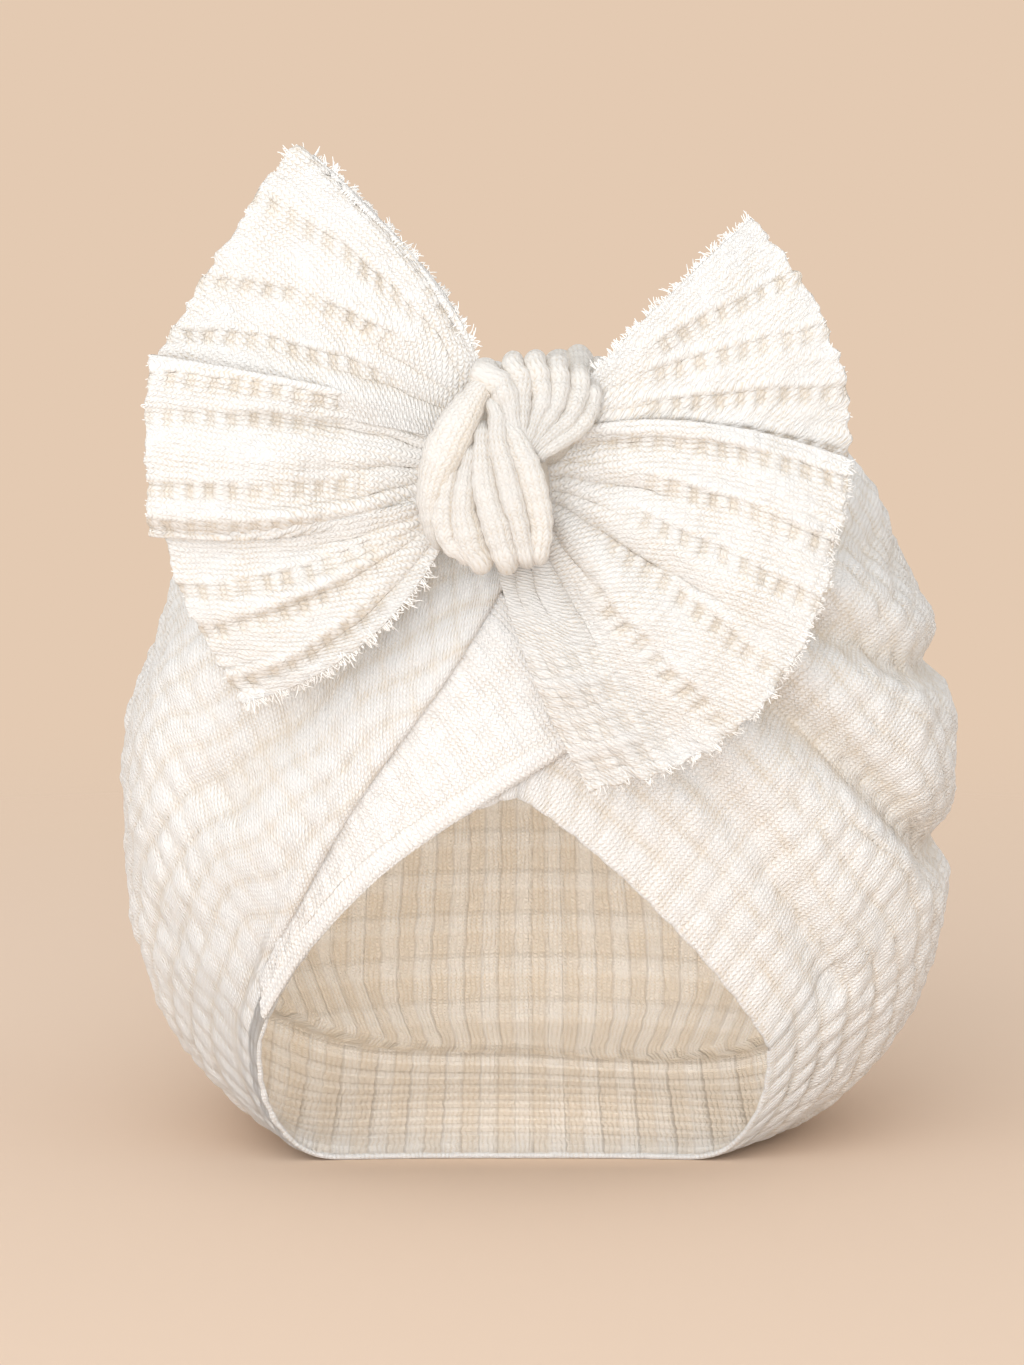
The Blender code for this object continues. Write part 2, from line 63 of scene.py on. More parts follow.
# %% The camera
AIM = Vector((-5.2, 0.0, 80.4)) * MM
CAMERA_DISTANCE = 1100 * MM
CAMERA_ELEVATION = math.radians(7.0)
LENS = 156.3

camera_data = bpy.data.cameras.new("camera")
camera_data.lens = LENS
camera_data.sensor_width = 36.0
camera_data.clip_start = 0.05
camera = bpy.data.objects.new("camera", camera_data)
bpy.context.collection.objects.link(camera)
towards = Vector((0.0, math.cos(CAMERA_ELEVATION), -math.sin(CAMERA_ELEVATION)))
camera.location = AIM - towards * CAMERA_DISTANCE
camera.rotation_euler = towards.to_track_quat("-Z", "Y").to_euler()
bpy.context.scene.camera = camera
print("camera at", tuple(round(value, 3) for value in camera.location))

# %% [markdown]
# ## Sizes of the hat
#
# The dressed hat lies over the plain one, so it starts from the same sizes and the same
# tables of sections. Lengths in the tables are shares of the sizes that they follow.

# %% Sizes
HAT_WIDTH = 150.5 * MM
HAT_HEIGHT = 143.5 * MM
HAT_DEPTH = 139.5 * MM
OPENING_WIDTH = 90.5 * MM
OPENING_HEIGHT = 69.0 * MM
CAP_WALL = 2.2 * MM
FLOOR_ROUNDING = 3.0 * MM
CROWN_DROP = 4.5 * MM

SECTION_COLUMNS = (
    "y_low", "y_high", "low", "high", "wide", "left", "right", "mid",
    "corner", "shoulder_left", "shoulder_right",
)
SECTIONS = {
    "rim": (-0.330, -0.484, -0.09, 1.00, 0.32, -1.105, 0.895, -0.095, 2.6, 1.42, 1.17),
    "front": (-0.290, -0.480, -0.03, 0.70, 0.28, -0.824, 0.744, -0.03, 2.6, 1.80, 1.75),
    "shoulder": (-0.180, -0.425, -0.035, 0.925, 0.40, -0.957, 0.930, 0.0, 2.7, 2.0, 2.1),
    "widest": (-0.014, -0.100, -0.035, 1.00, 0.465, -1.000, 1.000, 0.0, 2.7, 2.0, 2.3),
    "back": (0.172, 0.180, 0.000, 0.970, 0.50, -0.957, 0.944, 0.0, 2.4, 2.0, 2.1),
    "rear": (0.330, 0.373, 0.084, 0.843, 0.515, -0.777, 0.764, 0.0, 2.0, 2.0, 2.0),
    "nape": (0.452, 0.466, 0.251, 0.697, 0.505, -0.470, 0.460, 0.0, 2.0, 2.0, 2.0),
    "pole": (0.516, 0.516, 0.500, 0.500, 0.500, 0.0, 0.0, 0.0, 2.0, 2.0, 2.0),
}
LAST_PLACE = len(SECTIONS) - 1
print("the cap is lofted through", len(SECTIONS), "sections")

# %% [markdown]
# ## Curves and soft steps
#
# Small helpers do most of the shaping. `through` runs a smooth curve through chosen points,
# `soft` is a step with round corners, `bell` is a hump, and `wobble` adds the slow
# unevenness that every handmade thing has. `unit` sets the length of vectors to 1, and
# `columns_of` picks columns of a table by name.

# %% Helpers
TINY = 1e-12
WAVES = 7
WAVES_REACH = 3.2


def blend(a, b, c, d, share):
    """A smooth curve from b to c, with a before b and d after c."""
    return 0.5 * (2 * b + (c - a) * share + (2 * a - 5 * b + 4 * c - d) * share**2
                  + (3 * b - a - 3 * c + d) * share**3)


def through(points, places):
    """A smooth curve through the points, read at places that count them from 0."""
    points = np.asarray(points, float)
    ends = np.concatenate([[2 * points[0] - points[1]], points, [2 * points[-1] - points[-2]]])
    places = np.clip(np.asarray(places, float), 0.0, len(points) - 1.0)
    first = np.minimum(places.astype(int), len(points) - 2)
    share = (places - first).reshape(places.shape + (1,) * (points.ndim - 1))
    return blend(*(ends[first + step] for step in range(4)), share)


def soft(value, start=0.0, end=1.0):
    """0 up to the start, 1 from the end on, and a smooth rise between them."""
    value = np.clip((np.asarray(value, float) - start) / (end - start), 0.0, 1.0)
    return value * value * (3.0 - 2.0 * value)


def bell(value, width):
    """1 in the middle, and near 0 from twice the width on."""
    return np.exp(-(np.asarray(value, float) / width)**2)


def wobble(a, b, length, seed):
    """A smooth random height from about -1 to 1 over two coordinates in metres."""
    rng = np.random.default_rng(seed)
    total = np.zeros(np.broadcast(a, b).shape)
    for _ in range(WAVES):
        angle = rng.uniform(0, 2 * math.pi)
        wave = 2 * math.pi / (length * rng.uniform(0.7, 1.5))
        total += np.sin((a * math.cos(angle) + b * math.sin(angle)) * wave + rng.uniform(0, 6.28))
    return total / WAVES_REACH


def unit(vectors):
    return vectors / np.maximum(np.linalg.norm(vectors, axis=-1, keepdims=True), TINY)


def columns_of(table, names, *wanted):
    return table[:, [names.index(name) for name in wanted]]


def distance_to_curve(x, z, curve):
    """Distance of front-view points from a curve."""
    best = np.full(x.shape, np.inf)
    for (ax, az), (bx, bz) in zip(curve[:-1], curve[1:]):
        along = ((x - ax) * (bx - ax) + (z - az) * (bz - az)) / ((bx - ax)**2 + (bz - az)**2)
        along = np.clip(along, 0.0, 1.0)
        away = np.hypot(x - ax - along * (bx - ax), z - az - along * (bz - az))
        best = np.minimum(best, away)
    return best


print("a soft step half way up: %.2f" % soft(0.5))

# %% [markdown]
# ## The form of the cap
#
# The cap is one bag of cloth. Its form is a loft: rounded sections run from the opening to
# the back, and a smooth curve joins the same turn of each. `turn` goes round the opening
# from the right side over the top, and `place` runs from 0 at the rim to 7 at the back. The
# crown sits a little lower than the plain one, and the cloth rounds off where it meets the
# floor. A simulated bag could be blown up instead, but a loft keeps the outline of the photo.

# %% The cap's form
CROWN_FROM = 112 * MM
CROWN_TO = 142 * MM
BEHIND = 45 * MM


def rounded(value, power):
    """A sine or cosine that bulges towards a corner as the power grows past 2."""
    return np.sign(value) * np.abs(value)**(2.0 / power)


def section_points(name, turn):
    """Points of one section of the loft at the given turns."""
    row = dict(zip(SECTION_COLUMNS, SECTIONS[name]))
    wide = (OPENING_WIDTH if name == "rim" else HAT_WIDTH) / 2
    tall = OPENING_HEIGHT if name == "rim" else HAT_HEIGHT
    across, up = np.cos(turn), np.sin(turn)
    shoulder = np.where(across < 0, row["shoulder_left"], row["shoulder_right"])
    power = np.where(up < 0, row["corner"], shoulder)
    side = np.where(across < 0, row["mid"] - row["left"], row["right"] - row["mid"])
    x = wide * (row["mid"] + side * rounded(across, power))
    height = np.where(up < 0, row["wide"] - row["low"], row["high"] - row["wide"])
    z = tall * (row["wide"] + height * rounded(up, power))
    level = (z / tall - row["low"]) / max(row["high"] - row["low"], 1e-6)
    y = HAT_DEPTH * (row["y_low"] + (row["y_high"] - row["y_low"]) * level)
    return np.stack([x, y, z], axis=-1)


def cap_form(turn, place, rounding_behind=0.0):
    """Points in the middle of the cap's wall, before any fold or cell."""
    rings = [section_points(name, turn) for name in SECTIONS]
    pole, before = rings[-1], rings[-2]
    beyond = np.stack([2 * pole[..., 0] - before[..., 0], before[..., 1],
                       2 * pole[..., 2] - before[..., 2]], axis=-1)
    rings = np.stack([2 * rings[0] - rings[1], *rings, beyond])
    held = np.clip(place, 0.0, LAST_PLACE)
    first = np.minimum(held.astype(int), LAST_PLACE - 1)
    share = (held - first)[..., None]
    index = np.indices(turn.shape)
    point = blend(*(rings[(first + step, *index)] for step in range(4)), share)
    slope = 0.5 * (rings[(np.full(turn.shape, 2), *index)]
                   - rings[(np.zeros(turn.shape, int), *index)])
    point = point + slope * np.minimum(place, 0.0)[..., None]
    point[..., 2] -= CROWN_DROP * soft(point[..., 2], CROWN_FROM, CROWN_TO)
    floor = CAP_WALL / 2
    lift = point[..., 2] - floor
    rounding = FLOOR_ROUNDING + rounding_behind * soft(point[..., 1], 0.0, BEHIND)
    settled = np.where(lift < -rounding, 0.0,
                       np.where(lift < rounding, (lift + rounding)**2 / (4 * rounding), lift))
    point[..., 2] = floor + settled
    return point


def outward(points):
    """Unit normals of a grid of points, rows towards the back and columns round it."""
    return unit(np.cross(np.gradient(points, axis=0), np.gradient(points, axis=1)))


crown = cap_form(np.array([math.pi / 2]), np.array([3.0]))[0]
print("the crown at the widest section is %.1f mm high" % (crown[2] / MM))

# %% [markdown]
# ## Valleys and folds of the cap
#
# Where the knot pulls the cloth together, soft valleys run over the cap. Each is a curve in
# the front view with a width and a depth. They fade out behind the widest section, because
# there the cloth hangs free. They could be sculpted by hand, but a table is easier to change.

# %% Valleys
VALLEY_COLUMNS = ("x1", "z1", "x2", "z2", "x3", "z3", "width", "depth")
VALLEYS = {
    "right_upper": (0.50, 0.830, 0.80, 0.770, 1.00, 0.690, 0.034, 0.022),
    "right_middle": (0.40, 0.735, 0.80, 0.645, 1.02, 0.590, 0.024, 0.034),
    "right_lower": (0.30, 0.680, 0.74, 0.500, 0.97, 0.370, 0.025, 0.038),
    "right_hem": (0.22, 0.600, 0.52, 0.400, 0.68, 0.235, 0.021, 0.020),
    "left_tuck": (-0.20, 0.790, -0.48, 0.640, -0.72, 0.470, 0.040, 0.024),
    "left_side": (-0.55, 0.900, -0.86, 0.690, -1.02, 0.600, 0.040, 0.016),
}
VALLEY_FADE = (0.10, 0.45)
VALLEY_STEPS = 13
FLOOR_FADE = 0.05


def valley_depth(point):
    """The valleys' height on the cap's form, 0 between them and negative inside them."""
    x, y, z = point[..., 0], point[..., 1], point[..., 2]
    half = HAT_WIDTH / 2
    in_front = 1.0 - soft(y, VALLEY_FADE[0] * HAT_DEPTH, VALLEY_FADE[1] * HAT_DEPTH)
    height = np.zeros(x.shape)
    for values in VALLEYS.values():
        row = dict(zip(VALLEY_COLUMNS, values))
        ends = [(row["x%d" % n] * half, row["z%d" % n] * HAT_HEIGHT) for n in (1, 2, 3)]
        away = distance_to_curve(x, z, through(ends, np.linspace(0, 2, VALLEY_STEPS)))
        height -= row["depth"] * HAT_WIDTH * bell(away, row["width"] * HAT_WIDTH) * in_front
    return height * soft((z - CAP_WALL / 2) / (FLOOR_FADE * HAT_HEIGHT))


print("valleys:", ", ".join(VALLEYS))

# %% [markdown]
# ## The waffle cells
#
# Waffle knit has raised ribs along the cloth and lower bars across it, with a hollow between
# them. `waffle` gives the height of that side from its two coordinates, in metres on the
# cloth: 1 on a rib, less on a bar and 0 in a hollow. The other side of the same knit has a
# puff in each cell, and `pillows` gives that one. The cap shows its puffs, and the hem band
# its ribs. A bump in the finish could draw them, but moved points also show in the outline
# and in the shadows.

# %% Waffle cells
CELL_ALONG = 6.3 * MM
CELL_ACROSS = 6.6 * MM
RELIEF = 1.0 * MM
PUFF_POWER = 3.2
THREAD_SHARE, THREAD_EDGE, THREAD_HEIGHT = 0.16, 0.12, 0.22
RIB_SHARE, RIB_HEIGHT = 0.42, 0.95
BAR_SHARE, BAR_HEIGHT = 0.44, 0.80
CROSSING_HEIGHT = 0.15
RIB_EDGE = 0.22


def rib(value, pitch, share, edge):
    """1 on a band that takes the given share of each pitch, with soft edges."""
    phase = np.abs((value / pitch) % 1.0 - 0.5) * 2
    return 1.0 - soft(phase, share - edge, share + edge)


def puff(value, pitch, power=PUFF_POWER):
    """0 at the edges of each cell and a flat-topped hump between them."""
    return 1 - np.abs(2 * ((value / pitch) % 1.0) - 1)**power


def pillows(u, v):
    """The other side of the knit: a puff in each cell and a thread in the crease between."""
    rows = puff(v, CELL_ACROSS)
    thread = rib(u + CELL_ALONG / 2, CELL_ALONG, THREAD_SHARE, THREAD_EDGE)
    return puff(u, CELL_ALONG) * rows + THREAD_HEIGHT * thread * rows


def waffle(u, v, along, across):
    """The side with ribs and bars, which cross without a step."""
    ribs = rib(u, along, RIB_SHARE, RIB_EDGE)
    bars = rib(v, across, BAR_SHARE, RIB_EDGE)
    return np.maximum(RIB_HEIGHT * ribs, BAR_HEIGHT * bars) + CROSSING_HEIGHT * ribs * bars


print("height in the middle of a puff: %.2f" % pillows(CELL_ALONG / 2, CELL_ACROSS / 2))

# %% [markdown]
# ## Making a sheet
#
# A sheet starts as a grid primitive with the right count of faces. Its points are then put
# in place by the tables above, its UV map is laid out in metres of cloth so that stitches
# keep their size, and two point attributes remember how much painted shade each point gets,
# as a darker tan where hollows and creases would lie in shade, and whether it is on the
# inside of the hat. The other helpers here weld, turn, smooth, thicken and join meshes.

# %% Sheets
WELD_DISTANCE = 2e-6


def select_only(obj):
    bpy.ops.object.select_all(action="DESELECT")
    obj.select_set(True)
    bpy.context.view_layer.objects.active = obj


def new_sheet(name, points, cloth, hollow, lining=0.0):
    """A grid of points with its cloth coordinates, painted shade and inner-side mark, as a mesh
    object.
    """
    rows, columns = points.shape[:2]
    bpy.ops.object.select_all(action="DESELECT")
    bpy.ops.mesh.primitive_grid_add(x_subdivisions=columns - 1, y_subdivisions=rows - 1, size=1)
    obj = bpy.context.active_object
    obj.name = obj.data.name = name
    mesh = obj.data
    mesh.vertices.foreach_set("co", np.ascontiguousarray(points, np.float32).ravel())
    corner = np.empty(len(mesh.loops), np.int32)
    mesh.loops.foreach_get("vertex_index", corner)
    flat = np.ascontiguousarray(cloth, np.float32).reshape(-1, 2)
    mesh.uv_layers[0].name = "cloth"
    mesh.uv_layers[0].data.foreach_set("uv", flat[corner].ravel())
    # The first attribute is painted shade: how far each point's colour goes towards a darker tan.
    for kind, value in (("hollow", hollow), ("lining", lining)):
        spread = np.broadcast_to(value, points.shape[:2])
        depth = mesh.attributes.new(kind, "FLOAT", "POINT")
        depth.data.foreach_set("value", np.ascontiguousarray(spread, np.float32).ravel())
    mesh.update()
    return obj


def edit(obj, *steps):
    """Runs edit-mode operators on all of a mesh."""
    select_only(obj)
    bpy.ops.object.mode_set(mode="EDIT")
    bpy.ops.mesh.select_all(action="SELECT")
    for step in steps:
        step()
    bpy.ops.object.mode_set(mode="OBJECT")


def weld():
    bpy.ops.mesh.remove_doubles(threshold=WELD_DISTANCE)


def face_out():
    bpy.ops.mesh.normals_make_consistent(inside=False)


def smooth(obj):
    select_only(obj)
    bpy.ops.object.shade_smooth()


def thicken(obj, wall):
    """Gives a sheet a wall, half of it on each side."""
    select_only(obj)
    shell = obj.modifiers.new("wall", "SOLIDIFY")
    shell.thickness = wall
    shell.offset = 0.0
    shell.use_even_offset = False
    bpy.ops.object.modifier_apply(modifier=shell.name)


def join(name, objects):
    bpy.ops.object.select_all(action="DESELECT")
    for obj in objects:
        obj.select_set(True)
    bpy.context.view_layer.objects.active = objects[0]
    if len(objects) > 1:
        bpy.ops.object.join()
    joined = bpy.context.active_object
    joined.name = joined.data.name = name
    return joined


def triangles(obj):
    obj.data.calc_loop_triangles()
    return len(obj.data.loop_triangles)


print("points nearer than %.3f mm are welded" % (WELD_DISTANCE / MM))

# %% [markdown]
# ## The cap's outer side
#
# The rows of the cap's mesh run round the opening and its columns run from the rim to the
# back. The left front panel ends in a folded edge that rolls over the hem band, so one row
# is led along that edge, and the rows beside it are pushed into the section of a rolled
# fold. That gives a real overhang, which a height alone can't. At the back the rows close in
# one point, where `eased` smooths out the creases that come together there.

# %% Rows along the folded edge
LAP_EDGE = ((-1.098, 0.447), (-0.981, 0.645), (-0.823, 0.853),
            (-0.615, 1.081), (-0.391, 1.269), (-0.150, 1.529))
CAP_COLUMNS = 420
ROWS_TO_EDGE = 26
ROWS_TO_WIDEST = 58
ROWS_TO_BACK = 52
LAP_PROFILE = np.array([
    (0.0, 0.0), (0.7, 0.3), (0.8, 1.0), (0.4, 1.7), (-0.2, 2.2), (-0.6, 2.8), (-0.7, 3.4),
    (-0.4, 4.0), (0.2, 4.4), (1.0, 4.6), (1.9, 4.55), (2.9, 4.35),
]) * MM
LAP_SPREAD = 25.5 * MM
# Turn in radians past each end of the edge, from and to which the fold comes and goes.
FOLD_COMES = (-0.25, 0.05)
FOLD_GOES = (-0.42, -0.02)
FOLD_ROOM = 0.10
NEAREST_TO_RIM = 0.12
EDGE_TURNS = np.radians(np.linspace(85, 215, 261))
EDGE_PLACES = np.linspace(0, 1.8, 181)
EDGE_POINTS = 60
EDGE_DEGREE = 5
WIDEST_PLACE = list(SECTIONS).index("widest")
OUTER_EASED = 30
INNER_EASED = 27
EASING_TIMES = 75
EASING_FADE = 0.4

turns = np.linspace(-math.pi / 2, 1.5 * math.pi, CAP_COLUMNS + 1)


def places_of_edge():
    """Where the folded edge crosses each column, and how strong the fold is there."""
    edge = np.array([(x * OPENING_WIDTH / 2, z * OPENING_HEIGHT) for x, z in LAP_EDGE])
    edge = through(edge, np.linspace(0, len(edge) - 1, EDGE_POINTS))
    turn, place = np.meshgrid(EDGE_TURNS, EDGE_PLACES)
    form = cap_form(turn, place)
    found = []
    for x, z in edge:
        away = np.hypot(form[..., 0] - x, form[..., 2] - z)
        nearest = np.unravel_index(np.argmin(away), away.shape)
        found.append((turn[nearest], place[nearest]))
    found = np.array(sorted(found))
    fit = np.polynomial.Polynomial.fit(found[:, 0], found[:, 1], EDGE_DEGREE)
    start, end = found[0, 0], found[-1, 0]
    places = fit(np.clip(turns, start, end))
    strength = soft(turns, start + FOLD_COMES[0], start + FOLD_COMES[1]) \
        * (1 - soft(turns, end + FOLD_GOES[0], end + FOLD_GOES[1]))
    return np.maximum(places, NEAREST_TO_RIM), strength


edge_place, edge_strength = places_of_edge()
print("the folded edge runs from place %.2f to %.2f" % (edge_place.min(), edge_place.max()))

# %% [markdown]
# Now the rows are laid out and lifted off the middle of the wall, with the valleys, the
# rolled fold and the smooth closing at the back.

# %% The cap's outer surface
def cap_rows():
    """Places of the outer side's rows for every column, with the fold's rows in between."""
    to_edge = np.linspace(0, 1, ROWS_TO_EDGE, endpoint=False)[:, None] * edge_place
    fold = np.linspace(0, 1, len(LAP_PROFILE))[:, None] * FOLD_ROOM * (1 - edge_strength) \
        + edge_place
    spread = np.linspace(0, 1, ROWS_TO_WIDEST + 1)[1:, None]
    beyond = fold[-1] + FOLD_ROOM * edge_strength
    to_widest = beyond + spread * (WIDEST_PLACE - beyond)
    spread = np.linspace(0, 1, ROWS_TO_BACK + 1)[1:, None]
    to_back = WIDEST_PLACE + spread * (LAST_PLACE - WIDEST_PLACE) * np.ones_like(edge_place)
    return np.concatenate([to_edge, fold, to_widest, to_back])


def form_normals(turn, place):
    """Unit normals of the cap's form, and its unit directions towards the back."""
    step = 2e-3
    back = cap_form(turn, place + step) - cap_form(turn, np.maximum(place - step, 0))
    along = cap_form(turn + step, place) - cap_form(turn - step, place)
    normal = unit(np.cross(back, along))
    normal[-1] = (0, 1, 0)
    return normal, unit(back)


def cap_surface():
    """Points, unit normals, form points and places of the cap's outer side."""
    place = cap_rows()
    turn = np.broadcast_to(turns, place.shape)
    base = cap_form(turn, place)
    normal, back = form_normals(turn, place)
    height = valley_depth(base)
    first = ROWS_TO_EDGE
    after = first + len(LAP_PROFILE)
    moved = base.copy()
    moved[first:after] += back[first:after] * (LAP_PROFILE[:, 0, None] * edge_strength)[..., None]
    height[first:after] += LAP_PROFILE[:, 1, None] * edge_strength
    beyond = np.linalg.norm(base[after:] - base[after - 1], axis=-1)
    height[after:] += LAP_PROFILE[-1, 1] * edge_strength * bell(beyond, LAP_SPREAD)
    return moved + normal * (height + CAP_WALL / 2)[..., None], normal, base, place


def eased(points, rows):
    """The grid with the creases round its closing point at the back smoothed out."""
    ring = points[:, :-1].copy()
    last = len(ring) - 1
    here = slice(last - rows, last)
    share = soft(np.linspace(0, 1, rows), 0.0, EASING_FADE)[:, None, None]
    for _ in range(EASING_TIMES):
        mean = (ring[last - rows - 1:last - 1] + ring[last - rows + 1:last + 1]
                + np.roll(ring[here], 1, axis=1) + np.roll(ring[here], -1, axis=1)) / 4
        ring[here] += share * (mean - ring[here])
        ring[last] = ring[last - 1].mean(axis=0)
    return np.concatenate([ring, ring[:, :1]], axis=1)


outer, outer_normal, outer_base, outer_place = cap_surface()
outer = eased(outer, OUTER_EASED)
smoothed = outward(outer)
smoothed[:, -1] = smoothed[:, 0]
outer_normal[-OUTER_EASED:] = smoothed[-OUTER_EASED:]
outer_normal[-1] = (0, 1, 0)
print("outer side:", outer.shape[0], "rows of", outer.shape[1], "points")

# %% [markdown]
# ## Cloth coordinates on the cap
#
# The cells of a real hat keep their size wherever they are. So the cell coordinates are
# measured as lengths along the surface: `v` from the rim towards the back, and `u` round
# the opening from the middle of the right side, the left side, the crown or the floor. The
# back wall uses heights and lengths round the hat. Where two of these meet, one pattern fades
# into the other over about a cell and a half. Unwrapping the mesh by an operator would
# stretch the cells where the form closes at the back.

# %% Cloth coordinates
# Turn of a pattern's middle, and how far from it the pattern reaches, in radians.
ZONES = (
    (0.0, 0.86),
    (math.pi / 2, 0.70),
    (math.pi, 0.86),
    (-math.pi / 2, 0.6),
    (1.5 * math.pi, 0.6),
)
ZONE_FADE = 0.06
ZONE_KEEP, CLOTH_KEEP = 0.35, 0.3
UNEVEN = 1.1 * MM
BACK_RADIUS = 70 * MM
BACK_CENTRE = 4 * MM
BACK_FROM, BACK_TO = 3.9, 4.25


def lengths(points, axis):
    """How far each point of a grid lies along its row or column."""
    steps = np.linalg.norm(np.diff(points, axis=axis), axis=-1)
    steps = np.concatenate([np.zeros_like(np.take(steps, [0], axis=axis)), steps], axis=axis)
    return np.cumsum(steps, axis=axis)


def around_from(column, keep):
    """Lengths round the cap's rows from one column, pulled towards those of the widest row."""
    round_row = lengths(outer_base, 1)
    here = round_row - round_row[:, column:column + 1]
    widest = ROWS_TO_EDGE + len(LAP_PROFILE) + ROWS_TO_WIDEST - 1
    return here * (1 - keep) + here[widest] * keep


def column_at(turn):
    return int(np.argmin(np.abs(turns - turn)))


def cap_waffle(points, place):
    """Heights of the cells, from 0 to a little over 1, and the two cloth coordinates."""
    x, y, z = points[..., 0], points[..., 1], points[..., 2]
    from_rim = lengths(points, 0)
    from_rim = from_rim + UNEVEN * wobble(x, z, 24 * MM, 3)
    turn = np.broadcast_to(turns, place.shape)
    shift = UNEVEN * wobble(x, z, 20 * MM, 4)
    zones = []
    for centre, reach in ZONES:
        share = 1 - soft(np.abs(turn - centre), reach - ZONE_FADE, reach + ZONE_FADE)
        round_rim = around_from(column_at(centre), ZONE_KEEP)
        zones.append((share, pillows(round_rim + shift, from_rim)))
    total = sum(share for share, cells in zones)
    sides = sum(share * cells for share, cells in zones) / np.maximum(total, 1e-6)
    round_hat = np.arctan2(x, y + BACK_CENTRE) * BACK_RADIUS
    behind = pillows(round_hat + shift, z + shift)
    to_back = soft(place, BACK_FROM, BACK_TO)
    cells = sides * (1 - to_back) + behind * to_back
    return cells, around_from(column_at(0.0), CLOTH_KEEP), from_rim


cells, cloth_u, cloth_v = cap_waffle(outer, outer_place)
print("cell heights from %.2f to %.2f" % (cells.min(), cells.max()))

# %% [markdown]
# ## Building the cap
#
# The outer side, a rounded hem and the inner side are three grids that share their edges.
# They are joined and welded into one closed wall of cloth. The outer side has the puffs of
# the knit, which are weaker on the folded edge and fade out where the hat meets the floor.

# %% The cap's outer side, with its cells
CELL_MIDDLE = 0.55
LESS_ON_FOLD = 0.9
# Painted shade along the valleys, reached between these depths.
CREASE_PAINTED_SHADE = 0.55
CREASE_FROM, CREASE_TO = 1.6 * MM, 5.0 * MM
BIG_LUMP, SMALL_LUMP, FOLD_LUMP = 0.35 * MM, 0.22 * MM, 0.25 * MM
FLAT_BELOW, FREE_ABOVE = 0.3 * MM, 3.5 * MM


def stretch_of(points):
    """How strong the cells are: less where the cloth is stretched, more where it is slack."""
    x, z = points[..., 0], points[..., 2]
    return 0.80 + 0.35 * wobble(x, z, 26 * MM, 8)


def lumps_of(on_fold):
    """The slow unevenness of the outer side, with its own on the folded edge."""
    big = BIG_LUMP * wobble(outer[..., 0] + outer[..., 1], outer[..., 2], 17 * MM, 5)
    small = SMALL_LUMP * wobble(cloth_u, cloth_v, 5.5 * MM, 6) * (1 - soft(outer_place, 4.2, 5.4))
    free = (big + small) * soft(cloth_v, 4 * MM, 20 * MM) * (1 - on_fold)
    return free + FOLD_LUMP * on_fold * wobble(cloth_u, cloth_v, 4.5 * MM, 9)


def cap_outside():
    """The outer side's points and its sheet."""
    on_fold = np.zeros(outer.shape[:2])
    on_fold[ROWS_TO_EDGE - 1:ROWS_TO_EDGE + len(LAP_PROFILE)] = edge_strength
    strength = stretch_of(outer) * soft(cloth_v, -2.0 * MM, 2.5 * MM)
    strength = strength * (1 - LESS_ON_FOLD * on_fold)
    raised = (cells - CELL_MIDDLE) * RELIEF * strength
    free = soft(outer[..., 2], FLAT_BELOW, FREE_ABOVE)
    points = outer + outer_normal * ((raised + lumps_of(on_fold)) * free)[..., None]
    points[-1] = points[-2].mean(axis=0)
    # Painted shade: a darker tan in the creases between the puffs, and more along the valleys.
    crease = CREASE_PAINTED_SHADE * soft(-valley_depth(outer_base), CREASE_FROM, CREASE_TO)
    cloth = np.stack([cloth_u, cloth_v], -1)
    return points, new_sheet("cap_outside", points, cloth, (1 - cells)**2 + crease)


print("relief of the cells: %.1f mm" % (RELIEF / MM))

# %% [markdown]
# The inner side stays smooth but for the tuck where its wall meets its floor, and the groove
# of the tuck gets painted shade. Its inner-side mark lets the finish draw the ribs and bars of
# the knit's inner side there, and paint the whole inner side and the recesses between its ribs
# and bars a darker tan as shade.

# %% The cap's inner side
INNER_ROWS = 76
INNER_SPREAD = 0.9
INNER_CREASE = 78 * MM
INNER_ROUNDING = 9 * MM
HEM_THIN = 0.55
TUCK_RIDGE, TUCK_GROOVE = 0.8 * MM, 1.1 * MM
TUCK_PAINTED_SHADE = 0.6
INNER_RADIUS = 66 * MM
INNER_MIDDLE = 40 * MM


def cap_inside():
    """The inner side's points and its sheet."""
    place = np.linspace(0, 1, INNER_ROWS)[:, None]**INNER_SPREAD * LAST_PLACE * np.ones_like(turns)
    turn = np.broadcast_to(turns, place.shape)
    base = cap_form(turn, place, INNER_ROUNDING)
    normal = form_normals(turn, place)[0]
    x, y, z = base[..., 0], base[..., 1], base[..., 2]
    from_hem = lengths(base, 0)
    low = 1 - soft(z, 20 * MM, 36 * MM)
    near = from_hem - INNER_CREASE
    tuck = TUCK_RIDGE * bell(near + 3.2 * MM, 2.4 * MM) - TUCK_GROOVE * bell(near, 1.7 * MM)
    wall = CAP_WALL * (1 - HEM_THIN * (1 - soft(from_hem, 0.0, 9 * MM)))
    points = base + normal * (valley_depth(base) + CAP_WALL / 2 - wall - tuck * low)[..., None]
    points = eased(points, INNER_EASED)
    on_floor = (1 - soft(near, -3 * MM, 3 * MM)) * (1 - soft(z, 14 * MM, 30 * MM))
    lining = soft(from_hem, 2 * MM, 9 * MM) + on_floor
    round_wall = x + x / INNER_RADIUS * np.maximum(INNER_MIDDLE - y, 0)
    cloth = np.stack([round_wall * (1 - on_floor) + x * on_floor, from_hem], -1)
    # Painted shade along the groove of the tuck.
    hollow = TUCK_PAINTED_SHADE * low * bell(near, 1.5 * MM)
    return points, new_sheet("cap_inside", points, cloth, hollow, lining)


print("the inner side has", INNER_ROWS, "rows")

# %% [markdown]
# The hem is a half circle from the outer rim to the inner rim. It is thicker at each cell,
# so that the puffs run on over the edge.

# %% The cap's hem and the whole cap
HEM_ROWS = 5
HEM_PUFF = 0.75
HEM_PUFF_POWER = 3


